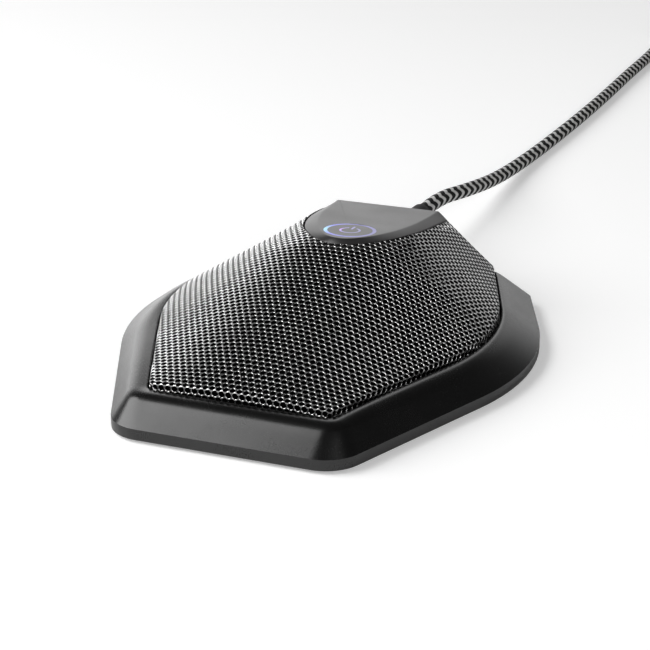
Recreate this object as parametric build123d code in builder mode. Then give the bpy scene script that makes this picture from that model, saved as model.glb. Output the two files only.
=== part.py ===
"""Table-top conference microphone: a low six-sided base, a perforated domed grille, a
tilted touch panel with a light ring, and a braided USB lead with its plug.

Millimetres.  +Z is up, +Y runs from the front to the back where the lead leaves, and the
origin is on the table under the middle of the microphone.
"""
from build123d import *
import math
import os

os.makedirs("parts", exist_ok=True)

# ---------------------------------------------------------------- driving dimensions
# heights above the table
PAD_TOP = 1.6
COVER_BOTTOM = 0.85
RIM_TOP = 3.4
CAVITY_TOP = 7.0
LEDGE_DIP = 0.7
SHOULDER_FRONT_Z = 9.6
SHOULDER_REAR_Z = 8.6
SKIRT_BOTTOM = 7.1

# plans: front corner, widest corner, rear corner of the right half, and their radii
RIM = ((26.4, -54.3), (54.8, 10.5), (38.6, 54.3))
RIM_RADII = (9.3, 61.0, 2.4)
SHOULDER = ((23.9, -48.75), (47.4, 7.6), (30.3, 53.4))
SHOULDER_RADII = (3.0, 62.0, 0.9)
SLOT = ((21.6, -45.0), (44.2, 10.3), (29.5, 53.4))
SLOT_RADII = (2.7, 56.0, 0.3)
BALLAST = ((16.0, -37.0), (40.0, 6.0), (27.0, 38.0))
BALLAST_RADII = (4.0, 50.0, 4.0)
BACK_Y = 53.4
WALL = 2.2
WALL_HALF_W = 27.9
WALL_TOP = 18.6
CASE_WALL = 2.6
PAD_INSET = 4.0

# domed grille: crest heights along the middle, skirt height, roundness of the crest
GRILLE_T = 0.8
GRILLE_GAP = 0.45
FRONT_Y = -44.0
PEAK_Y = 13.6
CREST_FRONT_Z = 11.2
CREST_PEAK_Z = 25.1
CREST_REAR_Z = 33.7
SKIRT_TOP_Z = 10.2
CREST_ROUND_FRONT = 0.25
CREST_ROUND_REAR = 0.34
FLANK_POWER_FRONT = 1.22
FLANK_POWER_REAR = 0.78
SECTION_YS = (-47.0, -36.0, -24.0, -12.0, 0.0, 13.6, 27.0, 40.0, 48.0, 56.0)
SECTION_STEPS = 16
SECTION_OVER = 2.0
RETAINER_W = 4.2
RETAINER_T = 1.6
CLOTH_DROP = 1.3
CLOTH_T = 0.8

# touch panel: a plane that falls towards the back
PANEL_TIP_Y = 14.2
PANEL_TIP_Z = 26.45
PANEL_FALL = 0.0847
PANEL_HALF_W = 14.0
PANEL_SIDE_Y = 35.4
PANEL_T = 1.8
PANEL_DEPTH = 3.4
PANEL_INSET = 1.6
PANEL_OUTSET = 1.0
PANEL_EDGE_DROP = 0.62
PANEL_BURY = 0.6
RING_Y = 24.9
RING_R = 6.05
RING_W = 0.9
GUIDE_DEPTH = 3.0
ICON_R = 2.4
ICON_W = 0.5
BOARD_DROP = 3.8
BOARD_T = 1.2
CARRIER_T = 1.6
LED_COUNT = 6

# fasteners
SCREW_R = 1.15
SCREW_HOLE_R = 1.25
HEAD_R = 2.3
HEAD_H = 0.9
HEAD_HOLE_R = 2.5
BOSS_R = 3.0
BOSS_GAP = 0.4
BOSS_TOP = 6.2
CASE_BOSSES = ((19.5, -48.0), (-19.5, -48.0), (34.0, 43.0), (-34.0, 43.0))
CARRIER_POSTS = ((12.0, 46.0), (-12.0, 46.0), (9.0, 28.0), (-9.0, 28.0))

# main board and microphone capsule
MAIN_BOARD = (46.0, 36.0, 1.6)
MAIN_BOARD_Y = 1.0
MAIN_BOARD_Z = 8.4
BOARD_POSTS = ((19.0, -13.0), (-19.0, -13.0), (19.0, 15.0), (-19.0, 15.0))
BALLAST_T = 2.5
CAPSULE_Y = -29.0
CAPSULE_R = 4.85
CAPSULE_Z = 7.0
CAPSULE_H = 4.5

# lead: diameter, height of the exit, strain relief, and the route to the coil
LEAD_R = 2.05
EXIT_Z = 12.0
RELIEF_END_Y = 82.0
RELIEF_R_WALL = 4.3
RELIEF_R_END = 2.75
ROUTE = (
    (0.0, RELIEF_END_Y, EXIT_Z),
    (0.0, 96.0, 12.0),
    (3.0, 118.0, 8.4),
    (4.4, 146.0, 4.0),
    (6.2, 178.0, LEAD_R),
    (8.8, 208.0, LEAD_R),
    (11.0, 240.0, LEAD_R),
    (12.4, 270.0, LEAD_R),
    (13.4, 300.0, LEAD_R),
    (15.0, 328.0, LEAD_R),
    (15.0, 354.0, LEAD_R),
)
COIL_COLUMNS = 4
COIL_ROWS = 2
COIL_OUTER_TURN_R = 30.2
COIL_X = ROUTE[-1][0] + COIL_OUTER_TURN_R
COIL_Y = 372.0
STUB = COIL_Y - ROUTE[-1][1]
PLUG_Z = 4.1
TIE_T = 1.0
TIE_W = 10.0


# ---------------------------------------------------------------- shared shapes
def mirrored(point):
    return (-point[0], point[1])


def plan(corners, radii, inset=0.0):
    """The six-sided plan with rounded corners, drawn smaller all round by inset."""
    front, wide, rear = corners
    with BuildSketch() as sketch:
        with BuildLine():
            Polyline(front, wide, rear, mirrored(rear), mirrored(wide), mirrored(front), close=True)
        make_face()
        fillet(sketch.vertices().group_by(Axis.Y)[-1], radii[2])
        fillet(sketch.vertices().group_by(Axis.Y)[0], radii[0])
        at_wide = sketch.vertices().filter_by_position(Axis.Y, wide[1] - 0.01, wide[1] + 0.01)
        fillet(at_wide, radii[1])
        if inset:
            offset(amount=-inset, kind=Kind.INTERSECTION)
    return sketch.sketch


def half_width(y):
    """Half width of the grille slot at y: two straight sides joined by an arc."""
    front, wide, rear = SLOT
    radius = SLOT_RADII[1]
    lean_in = math.atan2(wide[0] - front[0], wide[1] - front[1])
    lean_out = math.atan2(wide[0] - rear[0], rear[1] - wide[1])
    half_turn = (lean_in + lean_out) / 2
    tilt = (lean_out - lean_in) / 2
    reach = radius / math.cos(half_turn)
    centre_x = wide[0] - reach * math.cos(tilt)
    centre_y = wide[1] - reach * math.sin(tilt)
    if y < centre_y - radius * math.sin(lean_in):
        return front[0] + (y - front[1]) * math.tan(lean_in)
    if y > centre_y + radius * math.sin(lean_out):
        return rear[0] + (rear[1] - y) * math.tan(lean_out)
    return centre_x + math.sqrt(radius**2 - (y - centre_y) ** 2)


def dome_z(x, y):
    """Height of the grille's outer surface: two soft flanks that meet in a rounded crest."""
    if y < PEAK_Y:
        along = (y - FRONT_Y) / (PEAK_Y - FRONT_Y)
        crest = CREST_FRONT_Z + (CREST_PEAK_Z - CREST_FRONT_Z) * along
        rounding = CREST_ROUND_FRONT + (CREST_ROUND_REAR - CREST_ROUND_FRONT) * along
        power = FLANK_POWER_FRONT
    else:
        along = (y - PEAK_Y) / (BACK_Y - PEAK_Y)
        crest = CREST_PEAK_Z + (CREST_REAR_Z - CREST_PEAK_Z) * along
        rounding = CREST_ROUND_REAR
        power = FLANK_POWER_FRONT + (FLANK_POWER_REAR - FLANK_POWER_FRONT) * along
    across = abs(x) / (half_width(y) - GRILLE_GAP)
    roof = (math.hypot(across, rounding) - rounding) / (math.hypot(1, rounding) - rounding)
    return crest - (crest - SKIRT_TOP_Z) * roof**power


def dome_body(drop, inset):
    """Solid under the dome surface lowered by drop, inside the slot drawn in by inset."""
    with BuildPart() as body:
        for y in SECTION_YS:
            half = half_width(y) + SECTION_OVER
            xs = [half * (2 * i / SECTION_STEPS - 1) for i in range(SECTION_STEPS + 1)]
            points = [(x, dome_z(x, y) - drop) for x in xs]
            with BuildSketch(Plane.XZ.offset(-y)):
                with BuildLine():
                    Spline(*points)
                    Polyline(points[-1], (half, 0), (-half, 0), points[0])
                make_face()
        loft()
        with BuildSketch(Plane.XY):
            add(plan(SLOT, SLOT_RADII, inset))
        extrude(amount=CREST_REAR_Z + SECTION_OVER, mode=Mode.INTERSECT)
    return body.part


PANEL_PLANE = Plane(
    origin=(0, PANEL_TIP_Y, PANEL_TIP_Z),
    x_dir=(1, 0, 0),
    z_dir=(0, PANEL_FALL, 1),
)
SLOPE = math.hypot(1, PANEL_FALL)


def on_panel(y):
    """Distance along the panel's slope from its tip to the point above y."""
    return (y - PANEL_TIP_Y) * SLOPE


def panel_plan(outset=0.0):
    """Panel outline in the panel's own plane: square back, sides drawn in to a round tip."""
    back = on_panel(BACK_Y + SECTION_OVER)
    side = on_panel(PANEL_SIDE_Y)
    flank_end = (3.3, 1.75)
    with BuildSketch() as sketch:
        with BuildLine() as line:
            Line((0, back), (PANEL_HALF_W, back))
            Line((PANEL_HALF_W, back), (PANEL_HALF_W, side))
            ThreePointArc((PANEL_HALF_W, side), (10.4, 10.3), flank_end)
            ThreePointArc(flank_end, (1.75, 0.45), (0, 0))
            mirror(line.line, about=Plane.YZ)
        make_face()
        if outset:
            offset(amount=outset, kind=Kind.INTERSECTION)
    return sketch.sketch


def panel_body():
    """The panel's outer form: a flat top, a broad sloping edge and an upright skirt."""
    with BuildPart() as body:
        with BuildSketch(PANEL_PLANE):
            add(panel_plan(-PANEL_INSET))
        with BuildSketch(PANEL_PLANE.offset(-PANEL_EDGE_DROP)):
            add(panel_plan(PANEL_OUTSET))
        loft(ruled=True)
        with BuildSketch(PANEL_PLANE.offset(-PANEL_DEPTH)):
            add(panel_plan(PANEL_OUTSET))
        extrude(amount=PANEL_DEPTH - PANEL_EDGE_DROP)
        split(bisect_by=Plane.XZ.offset(-BACK_Y), keep=Keep.TOP)
    return body.part


def panel_clearance(gap):
    """The skirt's outline with a gap round it, through the whole height of the grille."""
    with BuildPart() as body:
        with BuildSketch(PANEL_PLANE.offset(-2 * PANEL_DEPTH)):
            add(panel_plan(PANEL_OUTSET + gap))
        extrude(amount=CREST_REAR_Z - PANEL_TIP_Z + 4 * PANEL_DEPTH)
    return body.part


def back_profile(half, drop, highest):
    """Upright outline under the dome surface at the back, cut off level at highest."""
    steps = SECTION_STEPS
    xs = [half * (2 * i / steps - 1) for i in range(steps + 1)]
    roof = [(x, min(dome_z(x, BACK_Y - WALL) - drop, highest)) for x in xs]
    with BuildSketch() as sketch:
        with BuildLine():
            Polyline((-half, RIM_TOP), *roof, (half, RIM_TOP), close=True)
        make_face()
    return sketch.sketch


def screws(places, head_z, length, pointing, plane=Plane.XY):
    """Pan-head screws, heads starting at head_z, shanks running up (1) or down (-1)."""
    with BuildPart() as group:
        with BuildSketch(plane.offset(head_z)):
            with Locations(*places):
                Circle(HEAD_R)
        extrude(amount=pointing * HEAD_H)
        with BuildSketch(plane.offset(head_z)):
            with Locations(*places):
                Circle(SCREW_R)
        extrude(amount=pointing * (HEAD_H + length))
    return group.part


def finish(part, name):
    part.label = name
    export_step(part, f"parts/{name}.step")


shoulder_slope = (SHOULDER_REAR_Z - SHOULDER_FRONT_Z) / (SHOULDER[2][1] - SHOULDER[0][1])
shoulder_plane = Plane(
    origin=(0, 0, SHOULDER_FRONT_Z - shoulder_slope * SHOULDER[0][1]),
    x_dir=(1, 0, 0),
    z_dir=(0, -shoulder_slope, 1),
)
grille_outer = dome_body(0.0, GRILLE_GAP)
grille_inner = dome_body(GRILLE_T, GRILLE_GAP + GRILLE_T)

panel_form = panel_body()

# ---------------------------------------------------------------- base
with BuildPart() as nonslip_pad:
    with BuildSketch(Plane.XY):
        add(plan(RIM, RIM_RADII, PAD_INSET + 0.2))
    extrude(amount=PAD_TOP)
finish(nonslip_pad.part, "nonslip_pad")

with BuildPart() as bottom_cover:
    with BuildSketch(Plane.XY.offset(COVER_BOTTOM)):
        add(plan(RIM, RIM_RADII))
    extrude(amount=RIM_TOP - COVER_BOTTOM)
    with BuildSketch(Plane.XY.offset(COVER_BOTTOM)):
        add(plan(RIM, RIM_RADII, PAD_INSET))
    extrude(amount=PAD_TOP - COVER_BOTTOM, mode=Mode.SUBTRACT)
    # standoffs for the main board pass through the ballast
    with BuildSketch(Plane.XY.offset(RIM_TOP)):
        with Locations(*BOARD_POSTS):
            Circle(BOSS_R - 0.4)
    extrude(amount=MAIN_BOARD_Z - RIM_TOP)
    with BuildSketch(Plane.XY.offset(RIM_TOP)):
        with Locations(*BOARD_POSTS):
            Circle(SCREW_HOLE_R)
    extrude(amount=MAIN_BOARD_Z - RIM_TOP, mode=Mode.SUBTRACT)
    # block that the cord clamp bar screws down on
    with BuildSketch(Plane.XY.offset(RIM_TOP)):
        with Locations((0, 42.0)):
            Rectangle(16.0, 5.0)
    extrude(amount=EXIT_Z - RIM_TOP)
    with BuildSketch(Plane.XZ.offset(-30.0)):
        with Locations((0, EXIT_Z)):
            Circle(LEAD_R)
    extrude(amount=-20.0, mode=Mode.SUBTRACT)
    with BuildSketch(Plane.XY.offset(EXIT_Z)):
        with Locations((5.4, 42.0), (-5.4, 42.0)):
            Circle(0.95)
    extrude(amount=-6.0, mode=Mode.SUBTRACT)
    # counterbored screw holes under the pad
    with BuildSketch(Plane.XY.offset(PAD_TOP)):
        with Locations(*CASE_BOSSES, *CARRIER_POSTS):
            Circle(HEAD_HOLE_R)
    extrude(amount=HEAD_H + 0.1, mode=Mode.SUBTRACT)
    with BuildSketch(Plane.XY.offset(PAD_TOP)):
        with Locations(*CASE_BOSSES, *CARRIER_POSTS):
            Circle(SCREW_HOLE_R)
    extrude(amount=RIM_TOP - PAD_TOP, mode=Mode.SUBTRACT)
finish(bottom_cover.part, "bottom_cover")

with BuildPart() as ballast_plate:
    with BuildSketch(Plane.XY.offset(RIM_TOP)):
        add(plan(BALLAST, BALLAST_RADII))
        with Locations(*BOARD_POSTS):
            Circle(BOSS_R, mode=Mode.SUBTRACT)
        with Locations(*CARRIER_POSTS[2:]):
            Circle(BOSS_R + BOSS_GAP, mode=Mode.SUBTRACT)
    extrude(amount=BALLAST_T)
finish(ballast_plate.part, "ballast_plate")

# ---------------------------------------------------------------- upper case
with BuildPart() as top_case:
    with BuildSketch(Plane.XY.offset(RIM_TOP)):
        add(plan(RIM, RIM_RADII))
    with BuildSketch(shoulder_plane):
        add(plan(SHOULDER, SHOULDER_RADII))
    loft(ruled=True)
    # ledge that dips from the shoulder to the grille slot
    with BuildSketch(shoulder_plane.offset(-LEDGE_DIP)):
        add(plan(SLOT, SLOT_RADII, 0.2))
    with BuildSketch(shoulder_plane):
        add(plan(SHOULDER, SHOULDER_RADII, 0.3))
    loft(ruled=True, mode=Mode.SUBTRACT)
    # cavity below the ledge, then the slot through it
    with BuildSketch(Plane.XY.offset(RIM_TOP)):
        add(plan(RIM, RIM_RADII, CASE_WALL))
    with BuildSketch(Plane.XY.offset(CAVITY_TOP)):
        add(plan(SHOULDER, SHOULDER_RADII, CASE_WALL))
    loft(ruled=True, mode=Mode.SUBTRACT)
    with BuildSketch(Plane.XY.offset(RIM_TOP)):
        add(plan(SLOT, SLOT_RADII))
    extrude(amount=SHOULDER_FRONT_Z, mode=Mode.SUBTRACT)
    # screw bosses under the ledge
    with BuildSketch(Plane.XY.offset(RIM_TOP)):
        with Locations(*CASE_BOSSES):
            Circle(BOSS_R)
    extrude(amount=BOSS_TOP - RIM_TOP)
    # upright back wall under the grille's rear edge, joined to the sides below the slot
    with BuildSketch(Plane.XZ.offset(-(BACK_Y - WALL))):
        add(back_profile(WALL_HALF_W, GRILLE_T + 0.3, WALL_TOP))
        with Locations((0, (RIM_TOP + CAVITY_TOP) / 2)):
            Rectangle(2 * SLOT[2][0] + 2, CAVITY_TOP - RIM_TOP - 0.4)
    extrude(amount=-WALL)
    # keyhole for the strain relief's neck
    with BuildSketch(Plane.XZ.offset(-(BACK_Y - WALL - 1))):
        with Locations((0, EXIT_Z)):
            Circle(3.3)
    extrude(amount=-(WALL + 3), mode=Mode.SUBTRACT)
    with BuildSketch(Plane.XY.offset(RIM_TOP)):
        with Locations(*CASE_BOSSES):
            Circle(SCREW_HOLE_R)
    extrude(amount=CAVITY_TOP - RIM_TOP - 0.3, mode=Mode.SUBTRACT)
finish(top_case.part, "top_case")

case_screws = screws(CASE_BOSSES, PAD_TOP + 0.1, 3.6, 1)
finish(case_screws, "case_screws")

# ---------------------------------------------------------------- grille and what holds it
panel_gap = panel_clearance(GRILLE_GAP)
cloth_gap = panel_clearance(2 * GRILLE_GAP)
cloth_outer = dome_body(CLOTH_DROP, GRILLE_GAP + CLOTH_DROP)
cloth_inner = dome_body(CLOTH_DROP + CLOTH_T, GRILLE_GAP + CLOTH_DROP + CLOTH_T)

with BuildPart() as grille:
    add(grille_outer)
    add(grille_inner, mode=Mode.SUBTRACT)
    add(panel_gap, mode=Mode.SUBTRACT)
    # the skirt stops just above the retainer, and the back is open round the wall
    with BuildSketch(Plane.XY):
        Rectangle(3 * SLOT[1][0], 3 * SLOT[1][0])
    extrude(amount=SKIRT_BOTTOM, mode=Mode.SUBTRACT)
    with BuildSketch(Plane.XZ.offset(-(BACK_Y - WALL - 0.3))):
        add(back_profile(WALL_HALF_W + 0.3, GRILLE_T, CREST_REAR_Z))
    extrude(amount=-2 * WALL, mode=Mode.SUBTRACT)
finish(grille.part, "grille")

with BuildPart() as dust_cloth:
    add(cloth_outer)
    add(cloth_inner, mode=Mode.SUBTRACT)
    add(cloth_gap, mode=Mode.SUBTRACT)
    with BuildSketch(Plane.XY):
        Rectangle(3 * SLOT[1][0], 3 * SLOT[1][0])
    extrude(amount=SKIRT_BOTTOM, mode=Mode.SUBTRACT)
    # stops short of the back wall
    split(bisect_by=Plane.XZ.offset(-(BACK_Y - WALL - 0.6)), keep=Keep.TOP)
finish(dust_cloth.part, "dust_cloth")

# flat frame that the grille's skirt and the cloth stand on
with BuildPart() as grille_retainer:
    with BuildSketch(Plane.XY.offset(CAVITY_TOP - RETAINER_T)):
        add(plan(SLOT, SLOT_RADII, 0.3))
        add(plan(SLOT, SLOT_RADII, RETAINER_W), mode=Mode.SUBTRACT)
    extrude(amount=RETAINER_T)
    split(bisect_by=Plane.XZ.offset(-(BACK_Y - WALL - 0.3)), keep=Keep.TOP)
    with BuildSketch(Plane.XY.offset(CAVITY_TOP - RETAINER_T)):
        with Locations(*CASE_BOSSES):
            Circle(BOSS_R + BOSS_GAP)
    extrude(amount=RETAINER_T, mode=Mode.SUBTRACT)
finish(grille_retainer.part, "grille_retainer")

# ---------------------------------------------------------------- touch panel and its light
RING_AT = (0, on_panel(RING_Y))
RING_OUT = RING_R + RING_W / 2
RING_IN = RING_R - RING_W / 2


def ring_disc(depth_from, depth_to, radius, hole=0.0):
    """Disc or ring centred on the light ring, between two depths below the panel's top."""
    with BuildPart() as disc:
        with BuildSketch(PANEL_PLANE.offset(-depth_to)):
            with Locations(RING_AT):
                Circle(radius)
                if hole:
                    Circle(hole, mode=Mode.SUBTRACT)
        extrude(amount=depth_to - depth_from)
    return disc.part


def icon_sketch(clearance=0.0):
    """Power symbol: an open arc with a bar in its gap."""
    half = ICON_W / 2 + clearance
    gap = 4 * ICON_W - 2 * clearance
    with BuildSketch() as icon:
        with Locations(RING_AT):
            Circle(ICON_R + half)
            Circle(ICON_R - half, mode=Mode.SUBTRACT)
        with Locations((RING_AT[0], RING_AT[1] + ICON_R)):
            Rectangle(gap, 2 * ICON_R, mode=Mode.SUBTRACT)
            Rectangle(2 * half, 1.1 * ICON_R + 2 * clearance)
    return icon.sketch


with BuildPart() as touch_panel:
    add(panel_form)
    # hollow below the 1.8 mm top, down to a thin edge that dips into the grille's opening
    with BuildSketch(PANEL_PLANE.offset(-PANEL_T)):
        add(panel_plan(-PANEL_T))
    extrude(amount=-PANEL_DEPTH, mode=Mode.SUBTRACT)
    add(ring_disc(-1, PANEL_DEPTH, RING_OUT + 0.02), mode=Mode.SUBTRACT)
    split(bisect_by=Plane.XZ.offset(-(BACK_Y - 0.01)), keep=Keep.TOP)
finish(touch_panel.part, "touch_panel")

ring_light_guide = ring_disc(0.0, GUIDE_DEPTH, RING_OUT, RING_IN)
finish(ring_light_guide, "ring_light_guide")

with BuildPart() as touch_disc:
    add(ring_disc(0.0, PANEL_T, RING_IN - 0.02))
    with BuildSketch(PANEL_PLANE.offset(-PANEL_T)):
        add(icon_sketch(0.02))
    extrude(amount=PANEL_T, mode=Mode.SUBTRACT)
finish(touch_disc.part, "touch_disc")

with BuildPart() as power_icon_lens:
    with BuildSketch(PANEL_PLANE.offset(-PANEL_T)):
        add(icon_sketch())
    extrude(amount=PANEL_T)
finish(power_icon_lens.part, "power_icon_lens")

touch_pad_foam = ring_disc(PANEL_T, BOARD_DROP, RING_IN - 1.6)
finish(touch_pad_foam, "touch_pad_foam")

# ---------------------------------------------------------------- boards under the panel
CARRIER_DROP = BOARD_DROP + BOARD_T
board_y = on_panel(CARRIER_POSTS[0][1]) - 6.0

with BuildPart() as touch_board:
    with BuildSketch(PANEL_PLANE.offset(-CARRIER_DROP)):
        with Locations((0, (board_y + 4.0) / 2)):
            RectangleRounded(15.0, board_y - 4.0, 2.0)
    extrude(amount=BOARD_T)
finish(touch_board.part, "touch_board")

with BuildPart() as ring_leds:
    with BuildSketch(PANEL_PLANE.offset(-BOARD_DROP)):
        with Locations(RING_AT):
            with PolarLocations(RING_R, LED_COUNT):
                Rectangle(1.0, 1.6)
    extrude(amount=BOARD_DROP - GUIDE_DEPTH - 0.1)
finish(ring_leds.part, "ring_leds")

with BuildPart() as panel_carrier:
    with BuildSketch(PANEL_PLANE.offset(-CARRIER_DROP - CARRIER_T)):
        add(panel_plan(-PANEL_T - 0.4))
    extrude(amount=CARRIER_T)
    split(bisect_by=Plane.XZ.offset(-(BACK_Y - WALL - 0.3)), keep=Keep.TOP)
    # four posts stand on the bottom cover and take its long screws
    for x, y in CARRIER_POSTS:
        plate_z = PANEL_TIP_Z - PANEL_FALL * (y - PANEL_TIP_Y) - CARRIER_DROP - CARRIER_T / 2
        with BuildSketch(Plane.XY.offset(RIM_TOP)):
            with Locations((x, y)):
                Circle(BOSS_R)
        extrude(amount=plate_z - RIM_TOP)
    with BuildSketch(Plane.XY.offset(RIM_TOP)):
        with Locations(*CARRIER_POSTS):
            Circle(SCREW_HOLE_R)
    extrude(amount=10.0, mode=Mode.SUBTRACT)
finish(panel_carrier.part, "panel_carrier")

carrier_screws = screws(CARRIER_POSTS, PAD_TOP + 0.1, 9.0, 1)
finish(carrier_screws, "carrier_screws")

# ---------------------------------------------------------------- main board
board_top = MAIN_BOARD_Z + MAIN_BOARD[2]

with BuildPart() as main_board:
    with BuildSketch(Plane.XY.offset(MAIN_BOARD_Z)):
        with Locations((0, MAIN_BOARD_Y)):
            RectangleRounded(MAIN_BOARD[0], MAIN_BOARD[1], 2.0)
        with Locations(*BOARD_POSTS):
            Circle(SCREW_HOLE_R, mode=Mode.SUBTRACT)
    extrude(amount=MAIN_BOARD[2])
finish(main_board.part, "main_board")

board_screws = screws(BOARD_POSTS, board_top + HEAD_H, 4.5, -1)
finish(board_screws, "board_screws")

with BuildPart() as usb_audio_chip:
    with BuildSketch(Plane.XY.offset(board_top + 0.1)):
        with Locations((-7.0, 0.0)):
            Rectangle(7.0, 7.0)
    extrude(amount=1.3)
    fillet(usb_audio_chip.edges().filter_by(Axis.Z), 0.3)
    # gull-wing leads on all four sides
    with BuildSketch(Plane.XY.offset(board_top)):
        with Locations((-7.0, 0.0)):
            with GridLocations(0.8, 7.9, 8, 2):
                Rectangle(0.3, 1.2)
            with GridLocations(7.9, 0.8, 2, 8):
                Rectangle(1.2, 0.3)
    extrude(amount=0.3)
finish(usb_audio_chip.part, "usb_audio_chip")

with BuildPart() as capacitors:
    with BuildSketch(Plane.XY.offset(board_top)):
        with Locations((8.0, -6.0), (13.0, -6.0), (8.0, 0.5)):
            Circle(2.0)
    extrude(amount=4.0)
    fillet(capacitors.edges().group_by(Axis.Z)[-1], 0.3)
finish(capacitors.part, "capacitors")

with BuildPart() as crystal:
    with BuildSketch(Plane.XY.offset(board_top)):
        with Locations((-7.0, 8.5)):
            SlotOverall(8.0, 3.2)
    extrude(amount=2.6)
finish(crystal.part, "crystal")

HEADER_Y = 15.0
with BuildPart() as cable_header:
    with BuildSketch(Plane.XY.offset(board_top)):
        with Locations((0, HEADER_Y)):
            Rectangle(8.0, 4.0)
    extrude(amount=4.0)
    with BuildSketch(Plane.XZ.offset(-(HEADER_Y - 1.2))):
        with Locations((0, EXIT_Z)):
            Rectangle(6.4, 2.6)
    extrude(amount=-4.0, mode=Mode.SUBTRACT)
finish(cable_header.part, "cable_header")

with BuildPart() as cable_connector:
    with BuildSketch(Plane.XZ.offset(-(HEADER_Y - 1.0))):
        with Locations((0, EXIT_Z)):
            Rectangle(6.2, 2.4)
    extrude(amount=-7.0)
finish(cable_connector.part, "cable_connector")
CONNECTOR_END_Y = HEADER_Y + 6.0

# ---------------------------------------------------------------- microphone capsule
with BuildPart() as capsule_holder:
    with BuildSketch(Plane.XY.offset(RIM_TOP + BALLAST_T)):
        with Locations((0, CAPSULE_Y)):
            Circle(7.6)
            SlotOverall(26.0, 6.0)
            Circle(6.2, mode=Mode.SUBTRACT)
        with Locations((10.0, CAPSULE_Y), (-10.0, CAPSULE_Y)):
            Circle(SCREW_HOLE_R, mode=Mode.SUBTRACT)
    extrude(amount=1.2)
    with BuildSketch(Plane.XY.offset(RIM_TOP + BALLAST_T)):
        with Locations((0, CAPSULE_Y)):
            Circle(7.6)
            Circle(6.2, mode=Mode.SUBTRACT)
    extrude(amount=4.4)
    with BuildSketch(Plane.XY.offset(RIM_TOP + BALLAST_T)):
        with Locations((0, CAPSULE_Y + 7.0)):
            Rectangle(4.2, 4.0)
    extrude(amount=1.1, mode=Mode.SUBTRACT)
finish(capsule_holder.part, "capsule_holder")

holder_screw_z = RIM_TOP + BALLAST_T + 1.2 + HEAD_H
holder_screws = screws(((10.0, CAPSULE_Y), (-10.0, CAPSULE_Y)), holder_screw_z, 1.1, -1)
finish(holder_screws, "holder_screws")

with BuildPart() as capsule_boot:
    with BuildSketch(Plane.XY.offset(CAPSULE_Z)):
        with Locations((0, CAPSULE_Y)):
            Circle(6.1)
            Circle(CAPSULE_R + 0.05, mode=Mode.SUBTRACT)
    extrude(amount=3.6)
    with BuildSketch(Plane.XY.offset(CAPSULE_Z - 0.3)):
        with Locations((0, CAPSULE_Y)):
            Circle(6.1)
            Circle(3.4, mode=Mode.SUBTRACT)
    extrude(amount=0.3)
finish(capsule_boot.part, "capsule_boot")

with BuildPart() as mic_capsule:
    with BuildSketch(Plane.XY.offset(CAPSULE_Z)):
        with Locations((0, CAPSULE_Y)):
            Circle(CAPSULE_R)
    extrude(amount=CAPSULE_H)
    fillet(mic_capsule.edges().group_by(Axis.Z)[-1], 0.4)
    # sound holes in the front disc
    with BuildSketch(Plane.XY.offset(CAPSULE_Z + CAPSULE_H)):
        with Locations((0, CAPSULE_Y)):
            with PolarLocations(2.4, 6):
                Circle(0.4)
    extrude(amount=-0.4, mode=Mode.SUBTRACT)
finish(mic_capsule.part, "mic_capsule")

WIRE_R = 0.35
WIRE_Z = 6.3
with BuildPart() as capsule_leads:
    for side in (1, -1):
        with BuildLine() as wire_path:
            FilletPolyline(
                (side * 1.3, CAPSULE_Y, CAPSULE_Z),
                (side * 1.3, CAPSULE_Y, WIRE_Z),
                (side * 1.3, -15.5, WIRE_Z),
                (side * 1.3, -15.5, MAIN_BOARD_Z),
                radius=0.5,
            )
        with BuildSketch(Plane.XY.offset(CAPSULE_Z)):
            with Locations((side * 1.3, CAPSULE_Y)):
                Circle(WIRE_R)
        sweep(path=wire_path.line)
finish(capsule_leads.part, "capsule_leads")

with BuildPart() as ribbon_lead:
    with BuildSketch(Plane.YZ.offset(9.0)):
        with BuildLine():
            start = (16.5, board_top)
            Polyline(start, (16.5, 13.5), (25.0, 17.2), (25.0, 17.6), (16.1, 13.7), (16.1, board_top), start)
        make_face()
    extrude(amount=5.0)
finish(ribbon_lead.part, "ribbon_lead")

# ---------------------------------------------------------------- lead and its clamp
RELIEF_IN_Y = 47.5
with BuildPart() as strain_relief:
    with BuildSketch(Plane.YZ):
        with BuildLine():
            Polyline(
                (RELIEF_IN_Y, EXIT_Z),
                (RELIEF_IN_Y, EXIT_Z + 3.1),
                (BACK_Y - WALL - 1.6, EXIT_Z + 3.1),
                (BACK_Y - WALL - 1.6, EXIT_Z + RELIEF_R_WALL),
                (BACK_Y - WALL - 0.3, EXIT_Z + RELIEF_R_WALL),
                (BACK_Y - WALL - 0.3, EXIT_Z + 3.1),
                (BACK_Y + 0.3, EXIT_Z + 3.1),
                (BACK_Y + 0.3, EXIT_Z + RELIEF_R_WALL),
                (BACK_Y + 2.3, EXIT_Z + RELIEF_R_WALL),
                (RELIEF_END_Y, EXIT_Z + RELIEF_R_END),
                (RELIEF_END_Y, EXIT_Z),
                close=True,
            )
        make_face()
    revolve(axis=Axis((0, RELIEF_IN_Y, EXIT_Z), (0, 1, 0)))
finish(strain_relief.part, "strain_relief")

with BuildPart() as inner_lead:
    with BuildSketch(Plane.XZ.offset(-CONNECTOR_END_Y)):
        with Locations((0, EXIT_Z)):
            Circle(LEAD_R - 0.1)
    extrude(amount=-(RELIEF_IN_Y - CONNECTOR_END_Y))
finish(inner_lead.part, "inner_lead")

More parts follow.
